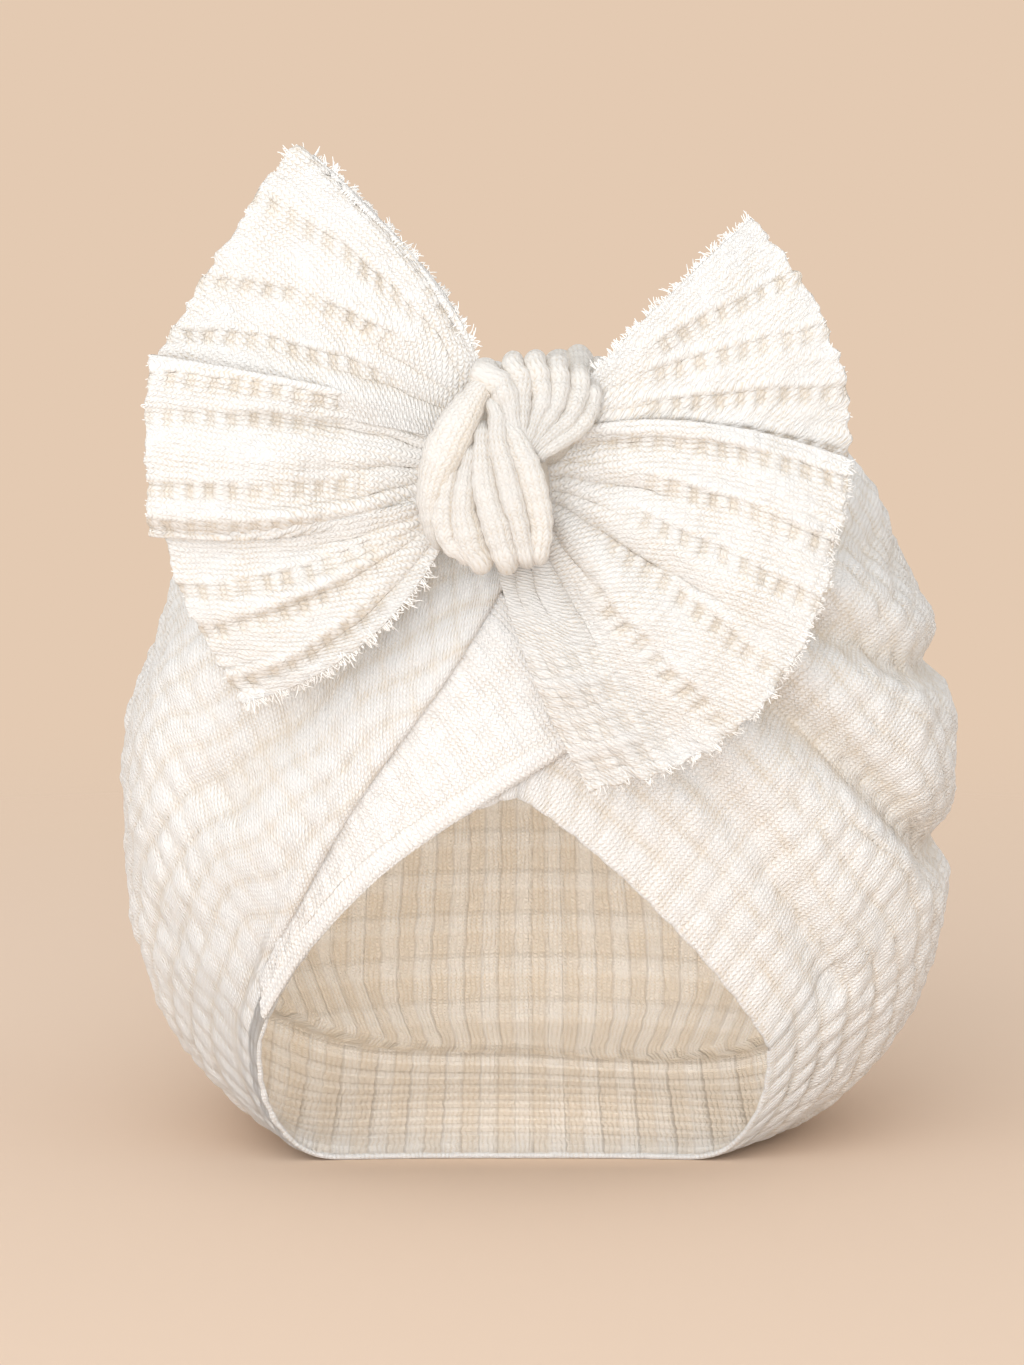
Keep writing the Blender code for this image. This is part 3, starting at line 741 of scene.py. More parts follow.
def cap_hem(start, end):
    """A rounded hem from the rim of the outer side to that of the inner side."""
    centre, half = (start + end) / 2, (start - end) / 2
    front = unit(np.cross(np.gradient(start, axis=0), half))
    radius = np.linalg.norm(half, axis=-1, keepdims=True)
    if front[:, 1].mean() > 0:
        front = -front
    bend = np.linspace(0, math.pi, HEM_ROWS + 2)
    size = (HEM_PUFF + HEM_PUFF * puff(cloth_u[0], CELL_ALONG, HEM_PUFF_POWER))[:, None]
    points = np.array([centre + half * math.cos(angle) + front * size * radius * math.sin(angle)
                       for angle in bend])
    cloth = np.stack([np.broadcast_to(cloth_u[0], points.shape[:2]),
                      np.broadcast_to(-bend[:, None] * CAP_WALL / 2, points.shape[:2])], -1)
    return new_sheet("cap_hem", points, cloth, np.zeros(points.shape[:2]))


def make_cap():
    points, outside = cap_outside()
    points_in, inside = cap_inside()
    print("wall at the back: %.1f mm" % ((points[-1, 0, 1] - points_in[-1, 0, 1]) / MM))
    hem = cap_hem(points[0], points_in[0])
    cap = join("waffle_cap", [outside, inside, hem])
    edit(cap, weld, face_out)
    smooth(cap)
    return cap


cap = make_cap()
print("cap:", triangles(cap), "triangles")

# %% [markdown]
# ## The hem band
#
# The hem of the left panel comes out from under the folded edge, runs beside the opening
# and crosses over the right panel. It is a long strip of its own, laid on the cap by rays
# from the front, with a flat hem and the groove of its seam along the lower edge. Rays keep
# it close to the cap, where a shrinkwrap would pull its edges into the folds.

# %% The hem band
BAND_COLUMNS = ("lower_x", "lower_z", "upper_x", "upper_z")
BAND = {
    "corner": (-1.078, 0.395, -1.084, 0.482),
    "side": (-0.918, 0.572, -0.948, 0.661),
    "rise": (-0.657, 0.765, -0.757, 0.869),
    "shoulder": (-0.416, 0.894, -0.549, 1.077),
    "crossing": (-0.116, 1.027, -0.333, 1.264),
    "over_right": (0.125, 1.133, -0.200, 1.389),
    "under_tail": (0.266, 1.227, -0.083, 1.466),
}
BAND_WALL = 1.1 * MM
BAND_TUCK = 0.38
BAND_ROWS = 44
BAND_STATIONS = 190
BAND_LIFT = 1.6 * MM
BAND_ALONG, BAND_ACROSS = 5.4 * MM, 6.0 * MM
BAND_RELIEF = 0.30 * MM
BAND_HEM = 3.8 * MM
BAND_HEM_RISE = 0.15 * MM
BAND_GROOVE = 0.25 * MM
BAND_EDGE_DROP = 0.7 * MM
BAND_LUMP = 0.25 * MM
# Painted shade in the hollows of the band's cells and in its seam's groove.
BAND_PAINTED_SHADE, GROOVE_PAINTED_SHADE = 0.13, 0.4
RIM_BEYOND = -0.25
FRONT_TO = 3.4


def front_form():
    """The cap's outer side without its fold and cells, to lay things on."""
    place = np.concatenate([[RIM_BEYOND], np.linspace(0, FRONT_TO, 60)])[:, None] * np.ones(161)
    turn = np.broadcast_to(np.linspace(0, 2 * math.pi, 161), place.shape)
    base = cap_form(turn, place)
    points = base + outward(base) * (valley_depth(base) + CAP_WALL / 2)[..., None]
    rows, columns = points.shape[:2]
    faces = [(r * columns + c, r * columns + c + 1, (r + 1) * columns + c + 1,
              (r + 1) * columns + c) for r in range(rows - 1) for c in range(columns - 1)]
    return BVHTree.FromPolygons([Vector(point) for point in points.reshape(-1, 3)], faces)


def lay_on(tree, x, z, lift):
    """The point of a tree that lies behind x and z in the front view, lifted off it."""
    hit, normal = tree.ray_cast(Vector((x, -HAT_DEPTH, z)), Vector((0, 1, 0)))[:2]
    if normal.y > 0:
        normal = -normal
    return hit + normal * lift


front = front_form()


def make_band():
    sizes = np.array((OPENING_WIDTH / 2, OPENING_HEIGHT) * 2)
    table = np.array(list(BAND.values())) * sizes
    line = through(table, np.linspace(0, len(BAND) - 1, BAND_STATIONS))
    lower = columns_of(line, BAND_COLUMNS, "lower_x", "lower_z")
    upper = columns_of(line, BAND_COLUMNS, "upper_x", "upper_z")
    shares = np.linspace(0, 1 + BAND_TUCK, BAND_ROWS)
    plain = np.array([[lay_on(front, *(low + (high - low) * share), BAND_LIFT)
                       for low, high in zip(lower, upper)] for share in shares])
    u = lengths(plain, 1)
    v = lengths(plain, 0)
    cells = waffle(u, v - BAND_HEM - 0.8 * MM, BAND_ALONG, BAND_ACROSS)
    hem = 1 - soft(v, BAND_HEM - 0.5 * MM, BAND_HEM + 0.5 * MM)
    groove = bell(v - BAND_HEM, 0.45 * MM)
    height = (cells - 0.5) * BAND_RELIEF * (1 - hem) + BAND_HEM_RISE * hem - BAND_GROOVE * groove
    height -= BAND_EDGE_DROP * (1 - soft(v, 0.0, 1.4 * MM))
    height += BAND_LUMP * wobble(plain[..., 0], plain[..., 2], 14 * MM, 11)
    normal = -outward(plain)
    if normal[..., 1].mean() > 0:
        normal = -normal
    # Painted shade in the hollows of the cells and in the seam's groove.
    sheet = new_sheet("hem_band", plain + normal * height[..., None], np.stack([u, v], -1),
                      BAND_PAINTED_SHADE * (1 - cells) * (1 - hem) + GROOVE_PAINTED_SHADE * groove)
    edit(sheet, face_out)
    thicken(sheet, BAND_WALL)
    edit(sheet, face_out)
    smooth(sheet)
    return sheet


band = make_band()
print("hem band:", triangles(band), "triangles")

# %% [markdown]
# ## The knot
#
# The knot is cloth pulled so tight that it turns into round ropes with deep creases. Each
# rope is a tube along a curve that lies on a rounded core: over the top and into the knot's
# middle for the top fold, down the front and under for the wrap, and slanting down the left
# side for the strap. Three more run from front to back behind the top fold. Rounded cores
# inside close the gaps between the ropes. A simulated knot is hard to steer, so each rope
# gets its place from a listed path.

# %% Knot sizes
KNOT_X = -6.5 * MM
KNOT_DROP = 19.0 * MM
WRAP_WIDTH = 15.5 * MM
WRAP_DEPTH = 24.0 * MM
WRAP_HEIGHT = 28.0 * MM

wrap_box = [np.array(corner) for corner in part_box("knot_wrap")]
middle = np.array((KNOT_X, wrap_box[0][1] + WRAP_DEPTH / 2, HAT_HEIGHT - KNOT_DROP))
print("the knot's middle is at", np.round(middle / MM, 1))

# %% [markdown]
# The ropes are given from the front, as millimetres right of and above the knot's middle,
# with the rope's width there. Their depth follows from the core that they lie on.

# %% Ropes of the knot
STRAP_ROPE = ((-2.2, 19.0, 4.4), (-5.6, 14.6, 6.3), (-8.7, 9.2, 7.9), (-11.0, 4.0, 7.4),
              (-12.6, -1.8, 5.6), (-12.6, -6.2, 4.0), (-11.6, -10.0, 2.0))
WRAP_ROPES = {
    "low": ((-8.9, 3.5, 2.6), (-10.0, -3.0, 4.0), (-9.4, -8.1, 4.4), (-6.6, -11.4, 3.4)),
    "first": ((-5.8, 6.0, 2.2), (-6.5, 2.1, 3.2), (-6.9, -3.0, 4.2), (-5.9, -8.6, 5.2),
              (-4.0, -12.2, 4.8)),
    "second": ((-3.8, 9.5, 2.4), (-3.8, 4.7, 3.8), (-3.0, -0.9, 4.5), (-0.9, -8.1, 5.2),
               (0.3, -12.2, 4.6)),
    "third": ((-2.1, 14.1, 2.4), (-1.2, 11.5, 3.5), (-0.9, 6.9, 3.8), (1.1, -0.9, 4.3),
              (2.8, -8.1, 4.1), (3.7, -11.8, 3.6)),
    "fourth": ((0.6, 11.0, 2.0), (2.4, 7.3, 4.1), (4.6, 1.3, 4.6), (6.1, -5.5, 4.3),
               (5.9, -11.0, 3.8)),
}
TOP_ROPES = {
    "first": ((-3.1, 18.4, 5.2), (-0.6, 16.4, 5.6), (1.0, 13.0, 4.4), (2.0, 8.4, 2.6)),
    "second": ((1.5, 20.2, 3.8), (2.8, 17.4, 3.9), (3.1, 14.0, 3.1), (2.8, 8.2, 2.4)),
    "third": ((5.2, 20.2, 4.1), (5.9, 17.4, 4.2), (6.2, 14.0, 3.6), (3.9, 7.8, 2.4)),
    "fourth": ((8.9, 19.6, 3.9), (9.1, 16.8, 3.9), (8.6, 13.4, 3.4), (4.9, 7.4, 2.4)),
    "fifth": ((12.4, 18.0, 4.0), (12.2, 14.8, 3.9), (10.6, 11.2, 3.5), (5.8, 6.8, 2.6)),
    "sixth": ((14.9, 15.4, 3.4), (14.3, 12.8, 3.4), (12.2, 9.6, 3.4), (6.6, 5.8, 2.8)),
}
# Place to the right, height of the top and width of each rope, in the same millimetres.
BACK_ROPES = ((9.6, 19.0, 5.6), (12.9, 19.8, 5.4), (16.2, 17.8, 5.4))
CORE_WIDE, CORE_TALL = 19.0 * MM, 24.5 * MM
WRAP_FRONT, TOP_FRONT, STRAP_FRONT = 9.6 * MM, 9.0 * MM, 9.4 * MM
ROPE_STATIONS = 84
ROPE_SIDES = 28
ROPE_UNEVEN = 0.05
ROPE_END = 0.28
TWIST_DEPTH, TWIST_PITCH = 0.10 * MM, 2.6 * MM
# Painted shade on the ropes, away from their outer faces, and on the cores between them.
ROPE_PAINTED_SHADE, CORE_PAINTED_SHADE = 0.75, 0.8
CORE_ROWS, CORE_COLUMNS = 40, 60


def over_core(x, z, depth):
    """How far in front of the knot's middle the core's surface lies."""
    return depth * np.sqrt(np.clip(1 - (x / CORE_WIDE)**2 - (z / CORE_TALL)**2, 0.05, 1.0))


def rope(name, path, widths, deep, seed):
    """A tube along a path, wider or narrower by station, with rounded closed ends."""
    stations = np.linspace(0, len(path) - 1, ROPE_STATIONS)
    line = through(np.asarray(path), stations)
    wide = np.maximum(through(np.asarray(widths), stations), 0.3 * MM) / 2
    ends = np.sin(math.pi * np.linspace(0, 1, ROPE_STATIONS))**ROPE_END
    slope = unit(np.gradient(line, axis=0))
    away = line - middle
    away = unit(away - slope * np.sum(away * slope, axis=1, keepdims=True))
    side = np.cross(slope, away)
    turn = np.linspace(0, 2 * math.pi, ROPE_SIDES + 1)
    u = lengths(line[None], 1)[0][:, None] * np.ones(ROPE_SIDES + 1)
    v = turn * wide.mean() * np.ones((ROPE_STATIONS, 1))
    radius = (wide * ends)[:, None] * (1 + ROPE_UNEVEN * wobble(u, v, 5 * MM, seed))
    radius = radius + TWIST_DEPTH * ends[:, None] * np.sin(u * 2 * math.pi / TWIST_PITCH + seed)
    points = line[:, None] + radius[..., None] * (side[:, None] * np.cos(turn)[:, None]
                                                  + deep * away[:, None] * np.sin(turn)[:, None])
    points[0], points[-1] = line[0], line[-1]
    # Painted shade on all of the rope but its outer face.
    hollow = ROPE_PAINTED_SHADE * (1 - soft(np.sin(turn), -0.1, 0.75)) * np.ones((ROPE_STATIONS, 1))
    return new_sheet(name, points, np.stack([v, u], -1), hollow)


def front_path(row, depth):
    """Points of a rope on the front of the core, and its widths, in metres."""
    x, z, width = np.array(row).T * MM
    return np.stack([middle[0] + x, middle[1] - over_core(x, z, depth), middle[2] + z], -1), width


def finish_body(name, parts):
    body = join(name, parts)
    edit(body, weld, face_out)
    smooth(body)
    return body


def core(name, centre, size):
    """A rounded lump of the given width, depth and height."""
    along = np.linspace(-math.pi / 2, math.pi / 2, CORE_ROWS)[:, None] * np.ones(CORE_COLUMNS)
    turn = np.linspace(0, 2 * math.pi, CORE_COLUMNS)[None, :] * np.ones((CORE_ROWS, 1))
    ball = np.stack([np.cos(along) * np.cos(turn), np.cos(along) * np.sin(turn), np.sin(along)], -1)
    points = np.asarray(centre) + ball * np.asarray(size) / 2
    cloth = np.stack([turn * size[0] / 2, along * size[2] / 2], -1)
    # The whole core gets painted shade, as it sits in the gaps between the ropes.
    return new_sheet(name, points, cloth, np.full(turn.shape, CORE_PAINTED_SHADE))


def steps_from(point, *offsets):
    """Points at the given offsets in millimetres from a point."""
    return [point + np.array(offset) * MM for offset in offsets]


def make_wrap():
    parts = [core("core", middle + (0, 0, -0.5 * MM), (WRAP_WIDTH, 0.70 * WRAP_DEPTH,
                                                       0.86 * WRAP_HEIGHT))]
    for number, (name, row) in enumerate(WRAP_ROPES.items()):
        path, width = front_path(row, WRAP_FRONT)
        over = steps_from(path[0], (0.6, 8.0, -1.0), (0.3, 3.5, 0.6))
        under = steps_from(path[-1], (0, 4.5, -0.2), (0, 9.5, 3.0))
        path = np.concatenate([over, path, under])
        width = np.concatenate([[width[0], width[0]], width, [width[-1], 0.8 * width[-1]]])
        parts.append(rope("wrap_" + name, path, width, 1.15, number + 3))
    return finish_body("wrap_ropes", parts)


def make_top():
    parts = [core("top_core", middle + np.array((4.0, 5.5, 9.6)) * MM,
                  (20 * MM, 21 * MM, 16 * MM))]
    for number, (name, row) in enumerate(TOP_ROPES.items()):
        path, width = front_path(row, TOP_FRONT)
        behind = steps_from(path[0], (0, 13.0, -7.0), (0, 9.5, -2.2), (0, 4.5, 0.4))
        inside = steps_from(path[-1], (-1.2, 4.5, -2.0))
        path = np.concatenate([behind, path, inside])
        width = np.concatenate([[0.8 * width[0], width[0], width[0]], width, [width[-1]]])
        parts.append(rope("top_" + name, path, width, 1.15, number + 13))
    return finish_body("top_ropes", parts)


def make_strap():
    path, width = front_path(STRAP_ROPE, STRAP_FRONT)
    over = steps_from(path[0], (1.6, 7.0, -0.5))
    under = steps_from(path[-1], (1.5, 3.5, -1.0))
    path = np.concatenate([over, path, under])
    width = np.concatenate([[width[0]], width, [0.7 * width[-1]]])
    return finish_body("strap_roll", [rope("strap", path, width, 0.85, 31)])


def make_back():
    parts = [core("back_core", middle + np.array((12.9, 16.0, 12.6)) * MM,
                  (11.5 * MM, 31 * MM, 12.5 * MM))]
    for number, (right, top, width) in enumerate(BACK_ROPES):
        path = [(right - 0.6, 4.0, top - 6.5), (right - 0.2, 11.0, top - 1.8), (right, 18.0, top),
                (right + 0.3, 25.0, top - 2.2), (right + 0.5, 31.5, top - 9.5)]
        widths = np.array((0.85, 1.0, 1.0, 0.95, 0.8)) * width * MM
        parts.append(rope("back_%d" % number, middle + np.array(path) * MM, widths, 1.0,
                          number + 41))
    return finish_body("back_roll", parts)


wrap, strap, top_fold, back_roll = make_wrap(), make_strap(), make_top(), make_back()
for piece in (wrap, strap, top_fold, back_roll):
    print(piece.name, triangles(piece), "triangles")

# %% [markdown]
# ## The tails of the bow
#
# Each tail is a fan of cloth that is gathered at the knot and opens outwards, folded into
# layers that lie on each other. A layer is a grid over its rays, which leave the knot, bend
# and end at the cut edge. A ray is a curve through three points in the front view, in shares
# of the tail's reach from the middle of the fan, and says how far forward its end lies. Cloth
# that is let fall would find folds of its own, and the rays give those of the photo.

# %% Rays of the tails
TAIL_REACH = 60.5 * MM
TAIL_LAYER = 6.0 * MM
TAIL_BILLOW = 3.0 * MM
FAN_RISE = 2.5 * MM
LEFT_PLANE = 2.0 * MM
RIGHT_PLANE = 1.0 * MM
TAIL_WALL = 0.9 * MM

RAY_COLUMNS = ("start_x", "start_z", "middle_x", "middle_z", "end_x", "end_z", "forward")
LAYERS = {
    "left_upper": {
        "raw_top": (-0.075, 0.203, -0.162, 0.480, -0.540, 0.882, -0.10),
        "tip": (-0.086, 0.198, -0.260, 0.531, -0.616, 0.887, 0.00),
        "outer": (-0.097, 0.192, -0.401, 0.469, -0.783, 0.635, 0.15),
        "inner": (-0.120, 0.184, -0.503, 0.384, -0.914, 0.429, 0.10),
        "fold": (-0.148, 0.169, -0.543, 0.300, -0.971, 0.322, 0.00),
        "under": (-0.185, 0.085, -0.570, 0.165, -0.950, 0.220, -0.10),
    },
    "left_middle": {
        "fold_top": (-0.180, 0.150, -0.570, 0.250, -0.991, 0.322, 0.75),
        "top": (-0.216, 0.090, -0.577, 0.198, -1.009, 0.237, 1.05),
        "middle": (-0.233, 0.022, -0.578, 0.051, -1.010, 0.056, 1.15),
        "low": (-0.239, -0.043, -0.578, -0.108, -1.011, -0.100, 1.05),
        "roll": (-0.233, -0.091, -0.579, -0.182, -1.003, -0.182, 0.65),
        "under": (-0.216, -0.086, -0.579, -0.142, -0.958, -0.142, 0.25),
    },
    "left_lower": {
        "under": (-0.205, -0.086, -0.579, -0.154, -0.961, -0.154, 0.05),
        "fold": (-0.205, -0.120, -0.565, -0.256, -0.942, -0.285, 0.05),
        "middle": (-0.202, -0.154, -0.545, -0.342, -0.883, -0.433, 0.15),
        "corner": (-0.197, -0.194, -0.489, -0.467, -0.788, -0.599, 0.05),
        "raw_low": (-0.182, -0.233, -0.416, -0.507, -0.740, -0.673, 0.00),
    },
    "right_upper": {
        "raw_top": (0.199, 0.212, 0.410, 0.441, 0.697, 0.708, -0.20),
        "outer": (0.191, 0.192, 0.445, 0.339, 0.838, 0.542, 0.00),
        "inner": (0.174, 0.164, 0.473, 0.266, 0.912, 0.393, 0.10),
        "middle": (0.157, 0.130, 0.502, 0.186, 0.970, 0.220, 0.08),
        "fold": (0.135, 0.096, 0.524, 0.127, 0.977, 0.042, 0.00),
        "under": (0.129, 0.073, 0.496, 0.085, 0.935, -0.029, -0.05),
    },
    "right_lower": {
        "fold_top": (0.118, 0.085, 0.502, 0.141, 0.977, 0.028, 0.50),
        "row": (0.118, 0.045, 0.525, 0.056, 0.964, -0.063, 0.85),
        "outer": (0.123, -0.006, 0.531, -0.063, 0.931, -0.222, 1.05),
        "middle": (0.126, -0.057, 0.497, -0.205, 0.875, -0.422, 1.05),
        "crease": (0.126, -0.100, 0.418, -0.347, 0.743, -0.650, 1.00),
        "corner": (0.118, -0.157, 0.334, -0.490, 0.602, -0.782, 0.85),
        "foot": (0.089, -0.214, 0.260, -0.564, 0.468, -0.848, 0.82),
        "flap": (0.033, -0.242, 0.146, -0.576, 0.354, -0.885, 0.80),
        "raw_low": (-0.030, -0.256, 0.081, -0.587, 0.241, -0.911, 0.50),
    },
}
print("layers of the bow:", ", ".join(LAYERS))

# %% [markdown]
# The folds of a layer run along its rays. A crease is a sharp valley between two pleats: it
# is deepest where the cloth leaves the knot and dies out along the ray. A roll is a soft
# ridge or hollow. A ladder is a row of knitted rungs with open windows between them, under a
# dense lip. All are given by their place among the rays, at the knot and at the cut edge.
# Creases, the recesses and windows of the ladders and the cells of the flap get painted shade.

# %% Folds of the tails
# Place at the knot, place at the end, depth in millimetres, share of the ray that it reaches.
CREASES = {
    "left_upper": ((3.0, 2.5, 0.7, 0.55), (4.2, 3.9, 1.1, 0.80), (1.5, 0.9, 0.8, 0.45)),
    "left_middle": ((0.7, 0.6, 1.2, 0.60), (1.5, 1.5, 1.5, 0.80), (2.3, 2.2, 1.5, 0.55),
                    (2.9, 3.0, 1.7, 0.85), (3.5, 3.7, 1.5, 0.90), (1.1, 1.1, 0.8, 0.35)),
    "left_lower": ((0.8, 0.6, 1.2, 0.60), (1.7, 1.6, 1.2, 0.70), (2.2, 2.15, 1.2, 1.20),
                   (3.2, 3.15, 1.1, 1.20)),
    "right_upper": ((0.9, 0.6, 0.9, 0.35), (1.7, 1.6, 1.2, 0.45), (2.7, 3.0, 1.3, 0.60),
                    (3.8, 3.6, 1.6, 0.75)),
    "right_lower": ((0.9, 0.75, 1.9, 0.45), (1.6, 1.5, 1.2, 0.30), (2.3, 2.1, 2.1, 0.60),
                    (3.0, 2.8, 1.3, 0.35), (3.8, 3.35, 2.2, 1.15), (4.9, 4.3, 1.8, 0.45),
                    (5.7, 5.5, 2.2, 0.55), (6.6, 6.5, 1.6, 0.35), (7.3, 7.3, 1.3, 0.30)),
}
# Place at the knot, place at the end, height and width in millimetres, from and to which share.
ROLLS = {
    "left_upper": ((4.6, 4.4, 0.9, 2.6, 0.20, 1.1), (2.4, 2.0, 0.7, 4.0, 0.25, 0.8)),
    "left_middle": ((0.6, 0.5, 0.9, 1.8, 0.15, 1.2), (1.5, 1.5, -1.3, 2.0, 0.20, 1.3),
                    (2.1, 2.05, 0.7, 1.8, 0.15, 1.2), (3.2, 3.15, 1.1, 1.7, 0.10, 1.3),
                    (3.65, 3.65, -1.0, 1.2, 0.20, 1.3)),
    "left_lower": ((0.8, 0.7, -1.0, 2.6, 0.20, 1.3), (1.95, 1.95, 1.1, 1.5, 0.15, 1.3),
                   (2.98, 2.98, 1.0, 1.4, 0.20, 1.3), (2.5, 2.5, -0.4, 1.8, 0.20, 1.3)),
    "right_upper": ((3.3, 2.4, 1.5, 2.8, 0.05, 0.75), (4.3, 4.5, 0.8, 2.4, 0.10, 1.0),
                    (0.6, 0.5, 0.6, 3.0, 0.30, 1.0)),
    "right_lower": ((0.2, 0.3, 1.2, 2.2, 0.05, 1.0), (1.7, 1.7, 0.9, 2.2, 0.05, 0.6),
                    (3.0, 3.1, 1.0, 2.8, 0.10, 1.0), (4.5, 4.2, 1.3, 3.2, 0.10, 0.9),
                    (5.4, 5.45, -1.9, 2.6, 0.15, 1.3), (6.6, 6.6, 0.9, 2.8, 0.30, 1.2)),
}
# Place at the knot, place at the end, share from which the windows show.
LADDERS = {
    "left_upper": ((0.65, 0.60, 0.28), (1.50, 1.55, 0.30), (2.40, 2.50, 0.30), (4.30, 3.45, 0.22)),
    "left_middle": ((0.90, 0.88, 0.30), (1.55, 1.52, 0.35), (2.65, 2.65, 0.25), (3.60, 3.60, 0.40)),
    "left_lower": ((1.50, 1.52, 0.25), (2.25, 2.25, 0.22), (3.25, 3.25, 0.22)),
    "right_upper": ((0.90, 1.00, 0.45), (1.70, 2.02, 0.40), (3.10, 3.03, 0.35), (4.3, 4.2, 0.45)),
    "right_lower": ((0.90, 0.88, 0.15), (2.05, 2.05, 0.32), (3.05, 2.85, 0.32), (3.85, 3.75, 0.25),
                    (4.90, 4.70, 0.30)),
}
RUNG_LEAN = {"left_upper": -0.45, "left_middle": 0.0, "left_lower": 0.18, "right_upper": -0.34,
             "right_lower": 0.0}
RUNG_PITCH = 3.7 * MM
RUNG_SHARE, RUNG_EDGE, RUNG_RISE = 0.46, 0.17, 0.72
LADDER_HALF = 2.0 * MM
LADDER_DEPTH = 1.0 * MM
LIP_HEIGHT, LIP_WIDTH = 0.35 * MM, 0.7 * MM
# Painted shade in a ladder's windows and recess, along creases and in the flap's cells.
WINDOW_PAINTED_SHADE, RECESS_PAINTED_SHADE = 0.88, 0.12
PLEAT_PAINTED_SHADE = 0.8
FLAP_FROM = 5.7
FLAP_PUFF, FLAP_PAINTED_SHADE = 0.5 * MM, 0.33
FLAP_ALONG, FLAP_ACROSS = 3.9 * MM, 6.4 * MM
COLUMN_SPACING = 0.44 * MM
MORE_COLUMNS = 14
RAY_STEPS = 146
print("creases:", sum(len(rows) for rows in CREASES.values()),
      "ladders:", sum(len(rows) for rows in LADDERS.values()))

# %% [markdown]
# A layer takes its flat fan from the rays, and then moves each point forward or back for
# every roll, crease and ladder. A tail is its layers, each thickened to a thin wall.

# %% A layer of a tail
def tail_layer(name, plane, seed):
    """Points, cloth coordinates and painted shade of one layer of a tail."""
    table = np.array(list(LAYERS[name].values()))
    ends = columns_of(table, RAY_COLUMNS, "end_x", "end_z")
    outer_arc = np.linalg.norm(np.diff(ends, axis=0), axis=1).sum() * TAIL_REACH
    columns = int(outer_arc / COLUMN_SPACING) + MORE_COLUMNS
    places = np.linspace(0, len(table) - 1, columns)
    rays = through(table, places)
    shares = np.linspace(0.0, 1.0, RAY_STEPS)[:, None]
    part = shares[..., None]
    foot, half_way, tip = (columns_of(rays, RAY_COLUMNS, spot + "_x", spot + "_z")
                           for spot in ("start", "middle", "end"))
    flat = TAIL_REACH * (foot * (1 - part) * (1 - 2 * part) + half_way * 4 * part * (1 - part)
                         + tip * part * (2 * part - 1))
    along, across = lengths(flat, 0), lengths(flat, 1)
    from_end = along[-1] - along

    def from_line(at_knot, at_end):
        """Distance across the layer from the line between two places."""
        line = at_knot + (at_end - at_knot) * shares[:, 0]**0.8
        at = [np.interp(place, places, row) for place, row in zip(line, across)]
        return across - np.array(at)[:, None]

    lift = rays[:, RAY_COLUMNS.index("forward")]
    forward = TAIL_LAYER * lift * shares**1.5 + TAIL_BILLOW * np.sin(math.pi * shares)
    hollow = np.zeros(across.shape)
    for at_knot, at_end, height, wide, start, stop in ROLLS[name]:
        away = from_line(at_knot, at_end)
        here = soft(shares, start - 0.1, start + 0.15) * (1 - soft(shares, 0.5 * stop, stop))
        forward = forward + height * MM * here * bell(away, wide * MM)
    for at_knot, at_end, depth, reach in CREASES[name]:
        away = np.abs(from_line(at_knot, at_end) + 0.25 * MM * wobble(along, across, 9 * MM, seed))
        here = soft(shares, -0.05, 0.06) * (1 - soft(shares, 0.25 * reach, reach))
        wide = (0.9 + 0.9 * shares) * MM
        forward = forward - depth * MM * here * np.exp(-away / wide)
        # Painted shade along the bottom of the crease.
        hollow = hollow + PLEAT_PAINTED_SHADE * here * np.exp(-away / (0.4 * MM))
    for at_knot, at_end, start in LADDERS[name]:
        away = from_line(at_knot, at_end) + 0.3 * MM * wobble(along, across, 11 * MM, seed + 3)
        here = soft(shares, start - 0.08, start + 0.12)
        here = here * (0.8 + 0.3 * wobble(along, across, 17 * MM, seed + 4))
        recess = soft(away, -LADDER_HALF - 0.3 * MM, -LADDER_HALF + 0.5 * MM) \
            * (1 - soft(away, 0.2 * MM, LADDER_HALF + 0.3 * MM))
        lean = from_end + RUNG_LEAN[name] * away
        lean = lean + 0.3 * MM * wobble(along, across, 7 * MM, seed + 5)
        rungs = rib(lean, RUNG_PITCH, RUNG_SHARE, RUNG_EDGE)
        lip = LIP_HEIGHT * bell(away + LADDER_HALF + 0.6 * MM, LIP_WIDTH)
        forward = forward + here * (lip - LADDER_DEPTH * recess * (1 - RUNG_RISE * rungs))
        # Painted shade in the recess, darker in the windows between the rungs.
        hollow = hollow + here * recess * (RECESS_PAINTED_SHADE + WINDOW_PAINTED_SHADE * (1 - rungs))
    if name == "right_lower":
        on_flap = soft(places, FLAP_FROM - 0.3, FLAP_FROM + 0.3) * soft(shares, 0.25, 0.5)
        puffs = waffle(across[:, -1:] - across, from_end + 2 * MM, FLAP_ALONG, FLAP_ACROSS)
        forward = forward + FLAP_PUFF * (puffs - 0.5) * on_flap
        # Painted shade in the hollows of the flap's cells.
        hollow = hollow + FLAP_PAINTED_SHADE * (1 - puffs) * on_flap
    uneven = 0.5 * MM * wobble(along, across, 13 * MM, seed) \
        + 0.8 * MM * wobble(along, across, 34 * MM, seed + 1) \
        + 0.12 * MM * wobble(along, across, 3.0 * MM, seed + 2)
    forward = forward + uneven * soft(shares, 0.10, 0.5)
    ragged = 0.35 * MM * wobble(across[-1], 0 * across[-1], 2.6 * MM, seed + 6) \
        + 0.30 * MM * wobble(across[-1], 0 * across[-1], 7 * MM, seed + 7)
    radial = unit(flat - flat[0].mean(axis=0))
    flat = flat + radial * (ragged * soft(shares, 0.8, 1.0))[..., None]
    points = np.stack([middle[0] + flat[..., 0], plane - forward,
                       middle[2] + FAN_RISE + flat[..., 1]], -1)
    return points, np.stack([across, along], -1), np.clip(hollow, 0, 1)


tail_points = {}


